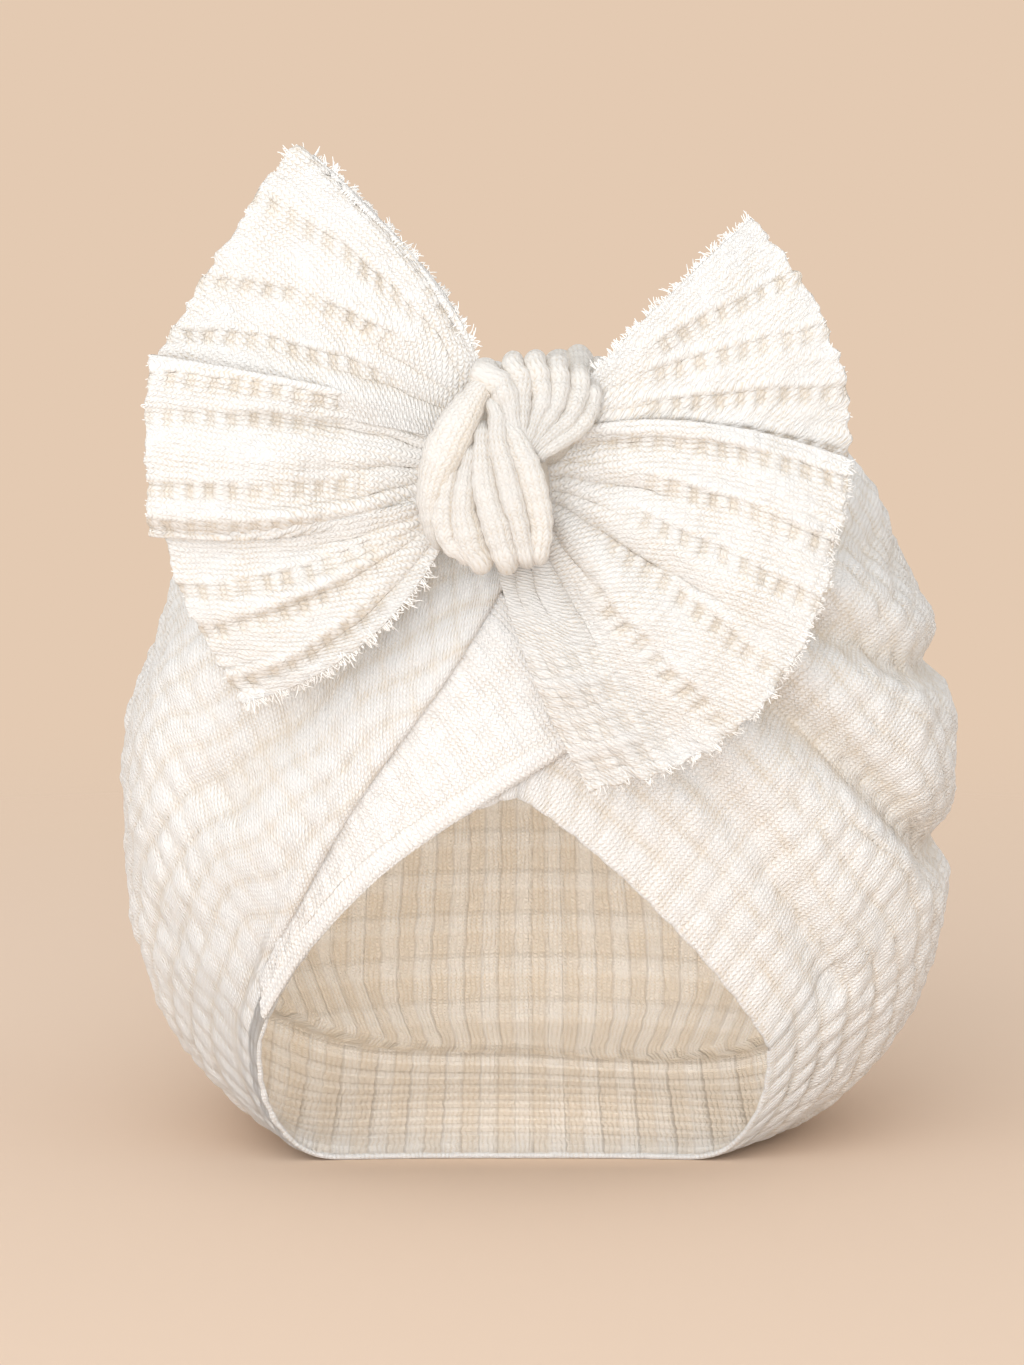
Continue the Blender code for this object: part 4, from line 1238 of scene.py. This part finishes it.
def make_tail(name, layers, plane, seed):
    """The layers of one tail, each a thin closed wall, joined into one piece."""
    sheets = []
    for number, layer in enumerate(layers):
        points, cloth, hollow = tail_layer(layer, plane, seed + 10 * number)
        tail_points[layer] = points
        sheet = new_sheet(layer, points, cloth, hollow)
        edit(sheet, face_out)
        thicken(sheet, TAIL_WALL)
        edit(sheet, face_out)
        sheets.append(sheet)
    tail = join(name, sheets)
    smooth(tail)
    return tail


left_tail = make_tail("left_tail_layers", ("left_upper", "left_middle", "left_lower"),
                      middle[1] + LEFT_PLANE, 40)
right_tail = make_tail("right_tail_layers", ("right_upper", "right_lower"),
                       middle[1] + RIGHT_PLANE, 80)
print("left tail:", triangles(left_tail), "right tail:", triangles(right_tail))

# %% [markdown]
# ## Frayed edges
#
# The ends of the cloth are cut and left raw, so short threads stand out of the edges, some
# straight and some as loops. A thread is a thin tube along a few points. Hundreds of them
# make a fringe, which is a piece of its own for each tail. Hair particles could do this too,
# but a mesh goes with the model wherever it is taken.

# %% The frayed edges
THREAD_RADIUS = 0.13 * MM
THREAD_SIDES = 4
THREAD_STEPS = 7
THREAD_TIP = 0.55
LOOPS = 0.35
EDGE_DEPTH = 6
TUFT_LENGTH = 0.75 * MM
# Layer, which edge of its grid, from and to which share of it, threads per millimetre, length.
FRAYED = {
    "left_fringe": (
        ("left_upper", "first", 0.0, 1.0, 6.5, 1.8),
        ("left_upper", "end", 0.0, 0.16, 2.6, 1.0),
        ("left_middle", "end", 0.0, 0.25, 1.2, 0.7),
        ("left_upper", "end", 0.16, 0.9, 0.9, 0.4),
        ("left_middle", "end", 0.25, 0.9, 0.8, 0.4),
        ("left_lower", "end", 0.1, 1.0, 0.8, 0.5),
        ("left_lower", "last", 0.06, 1.0, 6.5, 1.8),
    ),
    "right_fringe": (
        ("right_upper", "first", 0.0, 1.0, 6.5, 1.4),
        ("right_upper", "end", 0.0, 0.9, 0.8, 0.4),
        ("right_lower", "end", 0.0, 0.66, 6.0, 1.0),
        ("right_lower", "end", 0.66, 1.0, 4.5, 1.1),
        ("right_lower", "last", 0.3, 1.0, 0.8, 0.4),
    ),
}


def edge_of(layer, which):
    """Points along one edge of a layer and the points just inside it."""
    grid = tail_points[layer]
    if which == "first":
        return grid[:, 0], grid[:, EDGE_DEPTH]
    if which == "last":
        return grid[:, -1], grid[:, -1 - EDGE_DEPTH]
    return grid[-1], grid[-1 - EDGE_DEPTH]


def at_length(line, far, at):
    """The point of a line at a length along it."""
    return np.array([np.interp(at, far, line[:, axis]) for axis in range(3)])


def thread(rng, root, out, side, lift, length):
    """Centre line of a thread, either a wisp or a loop that comes back to the edge."""
    steps = np.linspace(0, 1, THREAD_STEPS)[:, None]
    reach = length * rng.uniform(0.45, 1.25)
    curl = rng.uniform(-0.6, 0.6)
    rise = rng.uniform(-0.5, 0.6)
    if rng.random() < LOOPS:
        width = rng.uniform(0.5, 1.1) * MM
        return root + out * reach * np.sin(math.pi * steps) * 0.8 \
            + side * width * (steps - 0.5 + 0.3 * curl * np.sin(math.pi * steps)) \
            + lift * rise * 0.5 * MM * np.sin(math.pi * steps)
    return root + out * reach * steps * (1 - 0.25 * abs(curl) * steps) \
        + side * curl * reach * steps**2 + lift * rise * reach * 0.6 * steps**1.5


def make_fringe(name, edges, seed):
    """All threads of one tail as one mesh of thin closed tubes."""
    rng = np.random.default_rng(seed)
    points, faces = [], []
    lift = np.array((0.0, -1.0, 0.0))
    around = np.linspace(0, 2 * math.pi, THREAD_SIDES, endpoint=False)
    for layer, which, start, stop, density, length in edges:
        edge, inside = edge_of(layer, which)
        far = lengths(edge[None], 1)[0]
        count = int((stop - start) * far[-1] / MM * density)
        for at in np.sort(rng.uniform(start, stop, count)) * far[-1]:
            root = at_length(edge, far, at)
            side = unit(at_length(edge, far, at + MM) - at_length(edge, far, at - MM))
            out = root - at_length(inside, far, at)
            out = unit(out - side * (out @ side))
            under = rng.uniform(0.3, 1.9) * MM
            root = root - out * under + lift * rng.uniform(-0.45, 0.40) * MM
            tuft = 0.85 + 0.3 * math.sin(at / TUFT_LENGTH)
            line = thread(rng, root, out, side, lift, length * MM * tuft + under)
            slope = unit(np.gradient(line, axis=0))
            one = unit(np.cross(slope, lift))
            two = np.cross(slope, one)
            taper = np.linspace(1.0, THREAD_TIP, THREAD_STEPS)[:, None, None] * THREAD_RADIUS
            tube = line[:, None] + taper * (one[:, None] * np.cos(around)[:, None]
                                            + two[:, None] * np.sin(around)[:, None])
            base = len(points)
            points.extend(tube.reshape(-1, 3))
            for step in range(THREAD_STEPS - 1):
                for turn in range(THREAD_SIDES):
                    a = base + step * THREAD_SIDES + turn
                    b = base + step * THREAD_SIDES + (turn + 1) % THREAD_SIDES
                    faces.append((a, b, b + THREAD_SIDES, a + THREAD_SIDES))
            faces.append(tuple(base + turn for turn in reversed(range(THREAD_SIDES))))
            last = base + (THREAD_STEPS - 1) * THREAD_SIDES
            faces.append(tuple(last + turn for turn in range(THREAD_SIDES)))
    mesh = bpy.data.meshes.new(name)
    mesh.from_pydata([Vector(point) for point in points], [], faces)
    fringe = bpy.data.objects.new(name, mesh)
    bpy.context.collection.objects.link(fringe)
    edit(fringe, face_out)
    smooth(fringe)
    return fringe


fringes = [make_fringe(name, edges, 7 + number)
           for number, (name, edges) in enumerate(FRAYED.items())]
print("fringes:", [triangles(fringe) for fringe in fringes])

# %% [markdown]
# ## Shader maths as Python
#
# A knitted surface is a sum of small waves. Writing each Math node by hand would bury that,
# so a `Wire` wraps an output socket, and plus, minus and times between wires add the nodes.

# %% The Wire class
class Wire:
    def __init__(self, tree, socket):
        self.tree, self.socket = tree, socket

    def node(self, kind, settings=None, **values):
        """Adds a node of a kind, with its settings and then the values of its sockets."""
        made = self.tree.nodes.new(kind)
        for key, value in (settings or {}).items():
            setattr(made, key, value)
        for key, value in values.items():
            name = int(key[1:]) if key[1:].isdigit() else key.replace("_", " ")
            socket = made.inputs[name]
            if isinstance(value, Wire):
                self.tree.links.new(value.socket, socket)
            else:
                socket.default_value = value
        return made

    def maths(self, operation, *values):
        settings = {"operation": operation}
        made = self.node("ShaderNodeMath", settings,
                         **{"_%d" % place: value for place, value in enumerate(values)})
        return Wire(self.tree, made.outputs[0])

    def __add__(self, other):
        return self.maths("ADD", self, other)

    def __sub__(self, other):
        return self.maths("SUBTRACT", self, other)

    def __rsub__(self, other):
        return self.maths("SUBTRACT", other, self)

    def __mul__(self, other):
        return self.maths("MULTIPLY", self, other)

    def __pow__(self, other):
        return self.maths("POWER", self, other)

    __radd__, __rmul__ = __add__, __mul__

    def sine(self):
        return self.maths("SINE", self)

    def absolute(self):
        return self.maths("ABSOLUTE", self)

    def clamped(self):
        return self.maths("MINIMUM", self.maths("MAXIMUM", self, 0.0), 1.0)


print("a wire can do:", [name for name in vars(Wire) if not name.startswith("_")])

# %% [markdown]
# ## The knitted finish
#
# Up close the yarn makes rows of small stitches, with a pinhole between them. The waves
# follow the cloth's own coordinates, so the stitches bend with the folds. The colour holds
# painted shade: hollows, creases and the gaps between stitches go a darker tan, and so do the
# inner side and the recesses between its ribs and bars. Inside the hat the finish also draws
# the knit's ribs and bars, and a share of the light goes through the cloth.

# %% Knit material
LINING_RIB, LINING_RIB_GAP, LINING_RIB_HEIGHT = 6.5 * MM, 0.5, 0.7
LINING_BAR, LINING_BAR_GAP, LINING_BAR_HEIGHT = 7.6 * MM, 0.58, 0.45
LINING_EDGE = 0.14
LINING_RELIEF = 1.1 * MM
# Painted shade over the whole inner side, taken off again on its ribs and bars so that the recesses
# stay darker.
INSIDE_PAINTED_SHADE, GRID_PAINTED_SHADE = 0.66, 0.46
WALE, COURSE = 0.95 * MM, 0.85 * MM
STITCH_LEAN = 0.7
STITCH_HEIGHT, YARN_HEIGHT, FIBRE_HEIGHT = 0.8, 0.9, 0.25
YARN_ACROSS, YARN_ALONG = 2600.0, 900.0
DRIFT = 1.5 * MM
DRIFT_SCALE, PATCH_SCALE, FIBRE_SCALE, THREAD_SCALE = 260.0, 160.0, 3200.0, 900.0
ROUGHNESS = 0.95
SHEEN = 0.25
SHINE = 0.2
GLOW_COLOUR = (0.97, 0.94, 0.90)


def soft_shader(name):
    """A new material whose shader has the dull, slightly fuzzy shine of cotton."""
    material = bpy.data.materials.new(name)
    material.use_nodes = True
    shader = material.node_tree.nodes["Principled BSDF"]
    shader.inputs["Roughness"].default_value = ROUGHNESS
    shader.inputs["Sheen Weight"].default_value = SHEEN
    shader.inputs["Sheen Roughness"].default_value = 0.5
    shader.inputs["Specular IOR Level"].default_value = SHINE
    return material, material.node_tree, shader


def blended(maker, share, pale, warm):
    """The colour at a share of the way from pale to warm."""
    colour = maker.node("ShaderNodeMix", {"data_type": "RGBA"}, _0=share)
    colour.inputs[6].default_value = (*pale, 1.0)
    colour.inputs[7].default_value = (*warm, 1.0)
    return colour.outputs[2]


def band_of(value, pitch, gap, edge):
    """0 on a gap that takes the given share of each pitch, and 1 on the band beside it."""
    phase = value.maths("PINGPONG", value, pitch / 2) * (2 / pitch)
    return ((phase - (gap - edge)) * (1 / (2 * edge))).clamped()


def grid_of(across, along):
    """Ribs and bars of the waffle knit's inner side."""
    ribs = band_of(across, LINING_RIB, LINING_RIB_GAP, LINING_EDGE)
    bars = band_of(along, LINING_BAR, LINING_BAR_GAP, LINING_EDGE)
    return ribs * LINING_RIB_HEIGHT + bars * LINING_BAR_HEIGHT


def knit(name, pale, warm, hollow_shade, pinhole_shade, depth=0.30 * MM, through=0.12):
    """Knitted cotton: how much painted shade goes into hollows and the gaps between stitches, how
    deep, how translucent.
    """
    material, tree, shader = soft_shader(name)
    maker = Wire(tree, None)
    cloth = maker.node("ShaderNodeUVMap", {"uv_map": "cloth"})
    parts = maker.node("ShaderNodeSeparateXYZ", _0=Wire(tree, cloth.outputs[0]))
    cloth_u, cloth_v = Wire(tree, parts.outputs[0]), Wire(tree, parts.outputs[1])
    place = maker.node("ShaderNodeTexCoord")
    spot = Wire(tree, place.outputs["Object"])
    drift = maker.node("ShaderNodeTexNoise", Vector=spot, Scale=DRIFT_SCALE, Detail=3.0)
    drift = (Wire(tree, drift.outputs[0]) - 0.5) * DRIFT
    u, v = cloth_u + drift, cloth_v - drift * 0.8
    wave_u = (u * (math.pi / WALE)).sine().absolute()
    lean = wave_u * (STITCH_LEAN * COURSE)
    wave_v = ((v + lean) * (math.pi / COURSE)).sine().absolute()
    stitch = wave_u**0.7 * (0.15 + 0.85 * wave_v**0.7)
    yarn = maker.node("ShaderNodeCombineXYZ", _0=u * YARN_ACROSS, _1=v * YARN_ALONG)
    yarn = maker.node("ShaderNodeTexNoise", Vector=Wire(tree, yarn.outputs[0]), Scale=1.0,
                      Detail=3.0, Distortion=0.6)
    yarn = Wire(tree, yarn.outputs[0])
    fibre = maker.node("ShaderNodeTexNoise", Vector=spot, Scale=FIBRE_SCALE, Detail=2.0)
    lining = maker.node("ShaderNodeAttribute", {"attribute_name": "lining"})
    lining = Wire(tree, lining.outputs["Fac"])
    inside, on_floor = lining.clamped(), (lining - 1.0).clamped()
    at = maker.node("ShaderNodeSeparateXYZ", _0=spot)
    wall_grid = grid_of(cloth_u, Wire(tree, at.outputs[2]))
    floor_grid = grid_of(Wire(tree, at.outputs[0]), cloth_v)
    grid = (wall_grid * (1 - on_floor) + floor_grid * on_floor) * inside
    height = stitch * STITCH_HEIGHT + yarn * YARN_HEIGHT \
        + Wire(tree, fibre.outputs[0]) * FIBRE_HEIGHT + grid * (LINING_RELIEF / depth)
    bump = maker.node("ShaderNodeBump", Strength=0.9, Distance=depth, Height=height)
    tree.links.new(bump.outputs[0], shader.inputs["Normal"])
    hollow = maker.node("ShaderNodeAttribute", {"attribute_name": "hollow"})
    hollow = Wire(tree, hollow.outputs["Fac"])
    patch = maker.node("ShaderNodeTexNoise", Vector=spot, Scale=PATCH_SCALE, Detail=2.0)
    patch = Wire(tree, patch.outputs[0])
    between = ((1 - wave_u) * (1.15 - wave_v)).clamped()**1.5 * 1.5
    open_here = ((patch - 0.34) * 3.0 + hollow * 0.7).clamped()
    # Painted shade: a darker tan in hollows and creases, in the gaps between stitches and over the
    # inner side's recesses; the yarn term is the yarn's own uneven tone.
    shade = (hollow * hollow_shade + between * open_here * pinhole_shade + (0.55 - yarn) * 0.5
             + inside * INSIDE_PAINTED_SHADE - grid * GRID_PAINTED_SHADE).clamped()
    tree.links.new(blended(maker, shade, pale, warm), shader.inputs["Base Color"])
    through_cloth = maker.node("ShaderNodeBsdfTranslucent")
    through_cloth.inputs["Color"].default_value = (*GLOW_COLOUR, 1.0)
    mixed = maker.node("ShaderNodeMixShader", _0=through)
    tree.links.new(shader.outputs[0], mixed.inputs[1])
    tree.links.new(through_cloth.outputs[0], mixed.inputs[2])
    tree.links.new(mixed.outputs[0], tree.nodes["Material Output"].inputs["Surface"])
    return material


def thread_material(name, pale, warm):
    """Loose cotton threads, with no stitches."""
    material, tree, shader = soft_shader(name)
    maker = Wire(tree, None)
    place = maker.node("ShaderNodeTexCoord")
    spot = Wire(tree, place.outputs["Object"])
    fibre = maker.node("ShaderNodeTexNoise", Vector=spot, Scale=THREAD_SCALE, Detail=2.0)
    fibre = Wire(tree, fibre.outputs[0])
    tree.links.new(blended(maker, (fibre * 1.6 - 0.4).clamped(), pale, warm),
                   shader.inputs["Base Color"])
    bump = maker.node("ShaderNodeBump", Strength=0.5, Distance=0.05 * MM, Height=fibre)
    tree.links.new(bump.outputs[0], shader.inputs["Normal"])
    return material


# The tan is the colour of the painted shade, and of the yarn's own uneven tone.
PALE, SHADE_AND_YARN_TAN = (0.975, 0.975, 0.972), (0.82, 0.73, 0.61)
body_knit = knit("body_knit", PALE, SHADE_AND_YARN_TAN, hollow_shade=0.58, pinhole_shade=0.75)
tail_knit = knit("tail_knit", (0.955, 0.950, 0.940), SHADE_AND_YARN_TAN, pinhole_shade=1.3, hollow_shade=0.62,
                 through=0.26)
knot_knit = knit("knot_knit", (0.955, 0.945, 0.925), SHADE_AND_YARN_TAN, depth=0.24 * MM, pinhole_shade=1.0,
                 hollow_shade=0.55, through=0.36)
thread_finish = thread_material("thread_finish", (0.965, 0.957, 0.94), (0.93, 0.905, 0.865))
print("knits:", body_knit.name, tail_knit.name, knot_knit.name, thread_finish.name)

# %% [markdown]
# ## Putting the pieces in place
#
# Each new piece but the fringes stands for a piece of the plain model, which is hidden, and
# each gets its knitted finish. All of them hang from an empty for the root.

# %% Pieces on the frame
PIECES = (
    (cap, ("cap",), body_knit, "waffle_knit"),
    (band, ("left_hem_band",), body_knit, "waffle_knit"),
    (wrap, ("knot_wrap",), knot_knit, "knot_knit"),
    (strap, ("knot_strap",), knot_knit, "knot_knit"),
    (top_fold, ("knot_top_fold",), knot_knit, "knot_knit"),
    (back_roll, ("knot_back_fold",), knot_knit, "knot_knit"),
    (left_tail, ("left_bow_tail",), tail_knit, "tail_knit"),
    (right_tail, ("right_bow_tail",), tail_knit, "tail_knit"),
    (fringes[0], (), thread_finish, "tail_knit"),
    (fringes[1], (), thread_finish, "tail_knit"),
)
for piece, nodes, material, slot_name in PIECES:
    piece.data.materials.clear()
    piece.data.materials.append(material)
    if nodes:
        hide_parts(*nodes)
    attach(piece, "root")

print("pieces on the frame:", [piece.name for piece, nodes, material, slot_name in PIECES])

# %% [markdown]
# ## Floor and light
#
# The hat stands in a plain studio: a warm sheet of paper that fades into the same colour
# behind. A large soft light comes from the upper left, a wide card lights the front and a
# glow comes from all round. Thin cloth lets daylight into the hat, so a small warm lamp that
# the camera doesn't see stands inside it.

# %% Floor
FLOOR_COLOUR = (0.76, 0.60, 0.475)
BACK_COLOUR = (0.775, 0.591, 0.445)
FADE_FROM, FADE_TO = 0.18, 0.60


def make_floor():
    bpy.ops.object.select_all(action="DESELECT")
    bpy.ops.mesh.primitive_circle_add(vertices=96, radius=2.2, fill_type="NGON")
    floor = bpy.context.active_object
    floor.name = "studio_floor"
    material = bpy.data.materials.new("studio_paper")
    material.use_nodes = True
    tree = material.node_tree
    shader = tree.nodes["Principled BSDF"]
    shader.inputs["Base Color"].default_value = (*FLOOR_COLOUR, 1.0)
    shader.inputs["Roughness"].default_value = 0.9
    shader.inputs["Specular IOR Level"].default_value = 0.1
    maker = Wire(tree, None)
    place = maker.node("ShaderNodeTexCoord")
    far = maker.node("ShaderNodeVectorMath", {"operation": "LENGTH"},
                     _0=Wire(tree, place.outputs["Object"]))
    far = Wire(tree, far.outputs["Value"])
    fade = maker.node("ShaderNodeMapRange", {"interpolation_type": "SMOOTHSTEP"}, Value=far)
    fade.inputs["From Min"].default_value = FADE_FROM
    fade.inputs["From Max"].default_value = FADE_TO
    fade.inputs["To Min"].default_value = 1.0
    fade.inputs["To Max"].default_value = 0.0
    tree.links.new(fade.outputs[0], shader.inputs["Alpha"])
    floor.data.materials.append(material)
    return floor


floor = make_floor()
print("floor radius", round(floor.dimensions.x / 2, 2), "m")

# %% [markdown]
# The lamps aim at the middle of the hat, apart from the one inside it, which looks at the
# back wall. The world gives the glow from all round, and the camera sees the paper's colour
# in its place.

# %% Light
# Place in metres, side in metres, power in watts, colour.
LIGHTS = {
    "key": ((-0.55, -1.25, 0.85), 1.6, 8.5, (1.0, 1.0, 1.0)),
    "front_card": ((-0.15, -1.5, 0.16), 0.9, 11.0, (0.96, 0.98, 1.0)),
    "inner_glow": ((-0.002, -0.034, 0.062), 0.06, 0.046, (1.0, 0.86, 0.71)),
}
LIGHT_AIM = Vector((0.0, 0.0, 0.07))
INNER_AIM = Vector((0.0, 1.0, -0.35))
GLOW_ALL_ROUND = (1.0, 0.975, 0.945)
GLOW_STRENGTH = 0.86


def soft_light(name, place, size, power, colour):
    """A square area light that faces the hat."""
    data = bpy.data.lights.new(name, "AREA")
    data.shape = "SQUARE"
    data.size = size
    data.energy = power
    data.color = colour
    light = bpy.data.objects.new(name, data)
    bpy.context.collection.objects.link(light)
    light.location = place
    aim = LIGHT_AIM - Vector(place)
    light.rotation_euler = aim.to_track_quat("-Z", "Y").to_euler()
    return light


lights = {name: soft_light(name, *row) for name, row in LIGHTS.items()}
lights["inner_glow"].rotation_euler = INNER_AIM.to_track_quat("-Z", "Y").to_euler()
lights["inner_glow"].visible_camera = False


def make_world():
    """A glow for the hat, and the paper's colour where the camera sees past the floor."""
    world = bpy.data.worlds.new("studio")
    bpy.context.scene.world = world
    world.use_nodes = True
    tree = world.node_tree
    glow = tree.nodes["Background"]
    glow.inputs["Color"].default_value = (*GLOW_ALL_ROUND, 1.0)
    glow.inputs["Strength"].default_value = GLOW_STRENGTH
    maker = Wire(tree, None)
    seen = maker.node("ShaderNodeBackground")
    seen.inputs["Color"].default_value = (*BACK_COLOUR, 1.0)
    rays = maker.node("ShaderNodeLightPath")
    mixed = maker.node("ShaderNodeMixShader", _0=Wire(tree, rays.outputs["Is Camera Ray"]))
    tree.links.new(glow.outputs[0], mixed.inputs[1])
    tree.links.new(seen.outputs[0], mixed.inputs[2])
    tree.links.new(mixed.outputs[0], tree.nodes["World Output"].inputs["Surface"])


make_world()
bpy.context.scene.view_settings.view_transform = "Standard"

# %% [markdown]
# ## Finishing
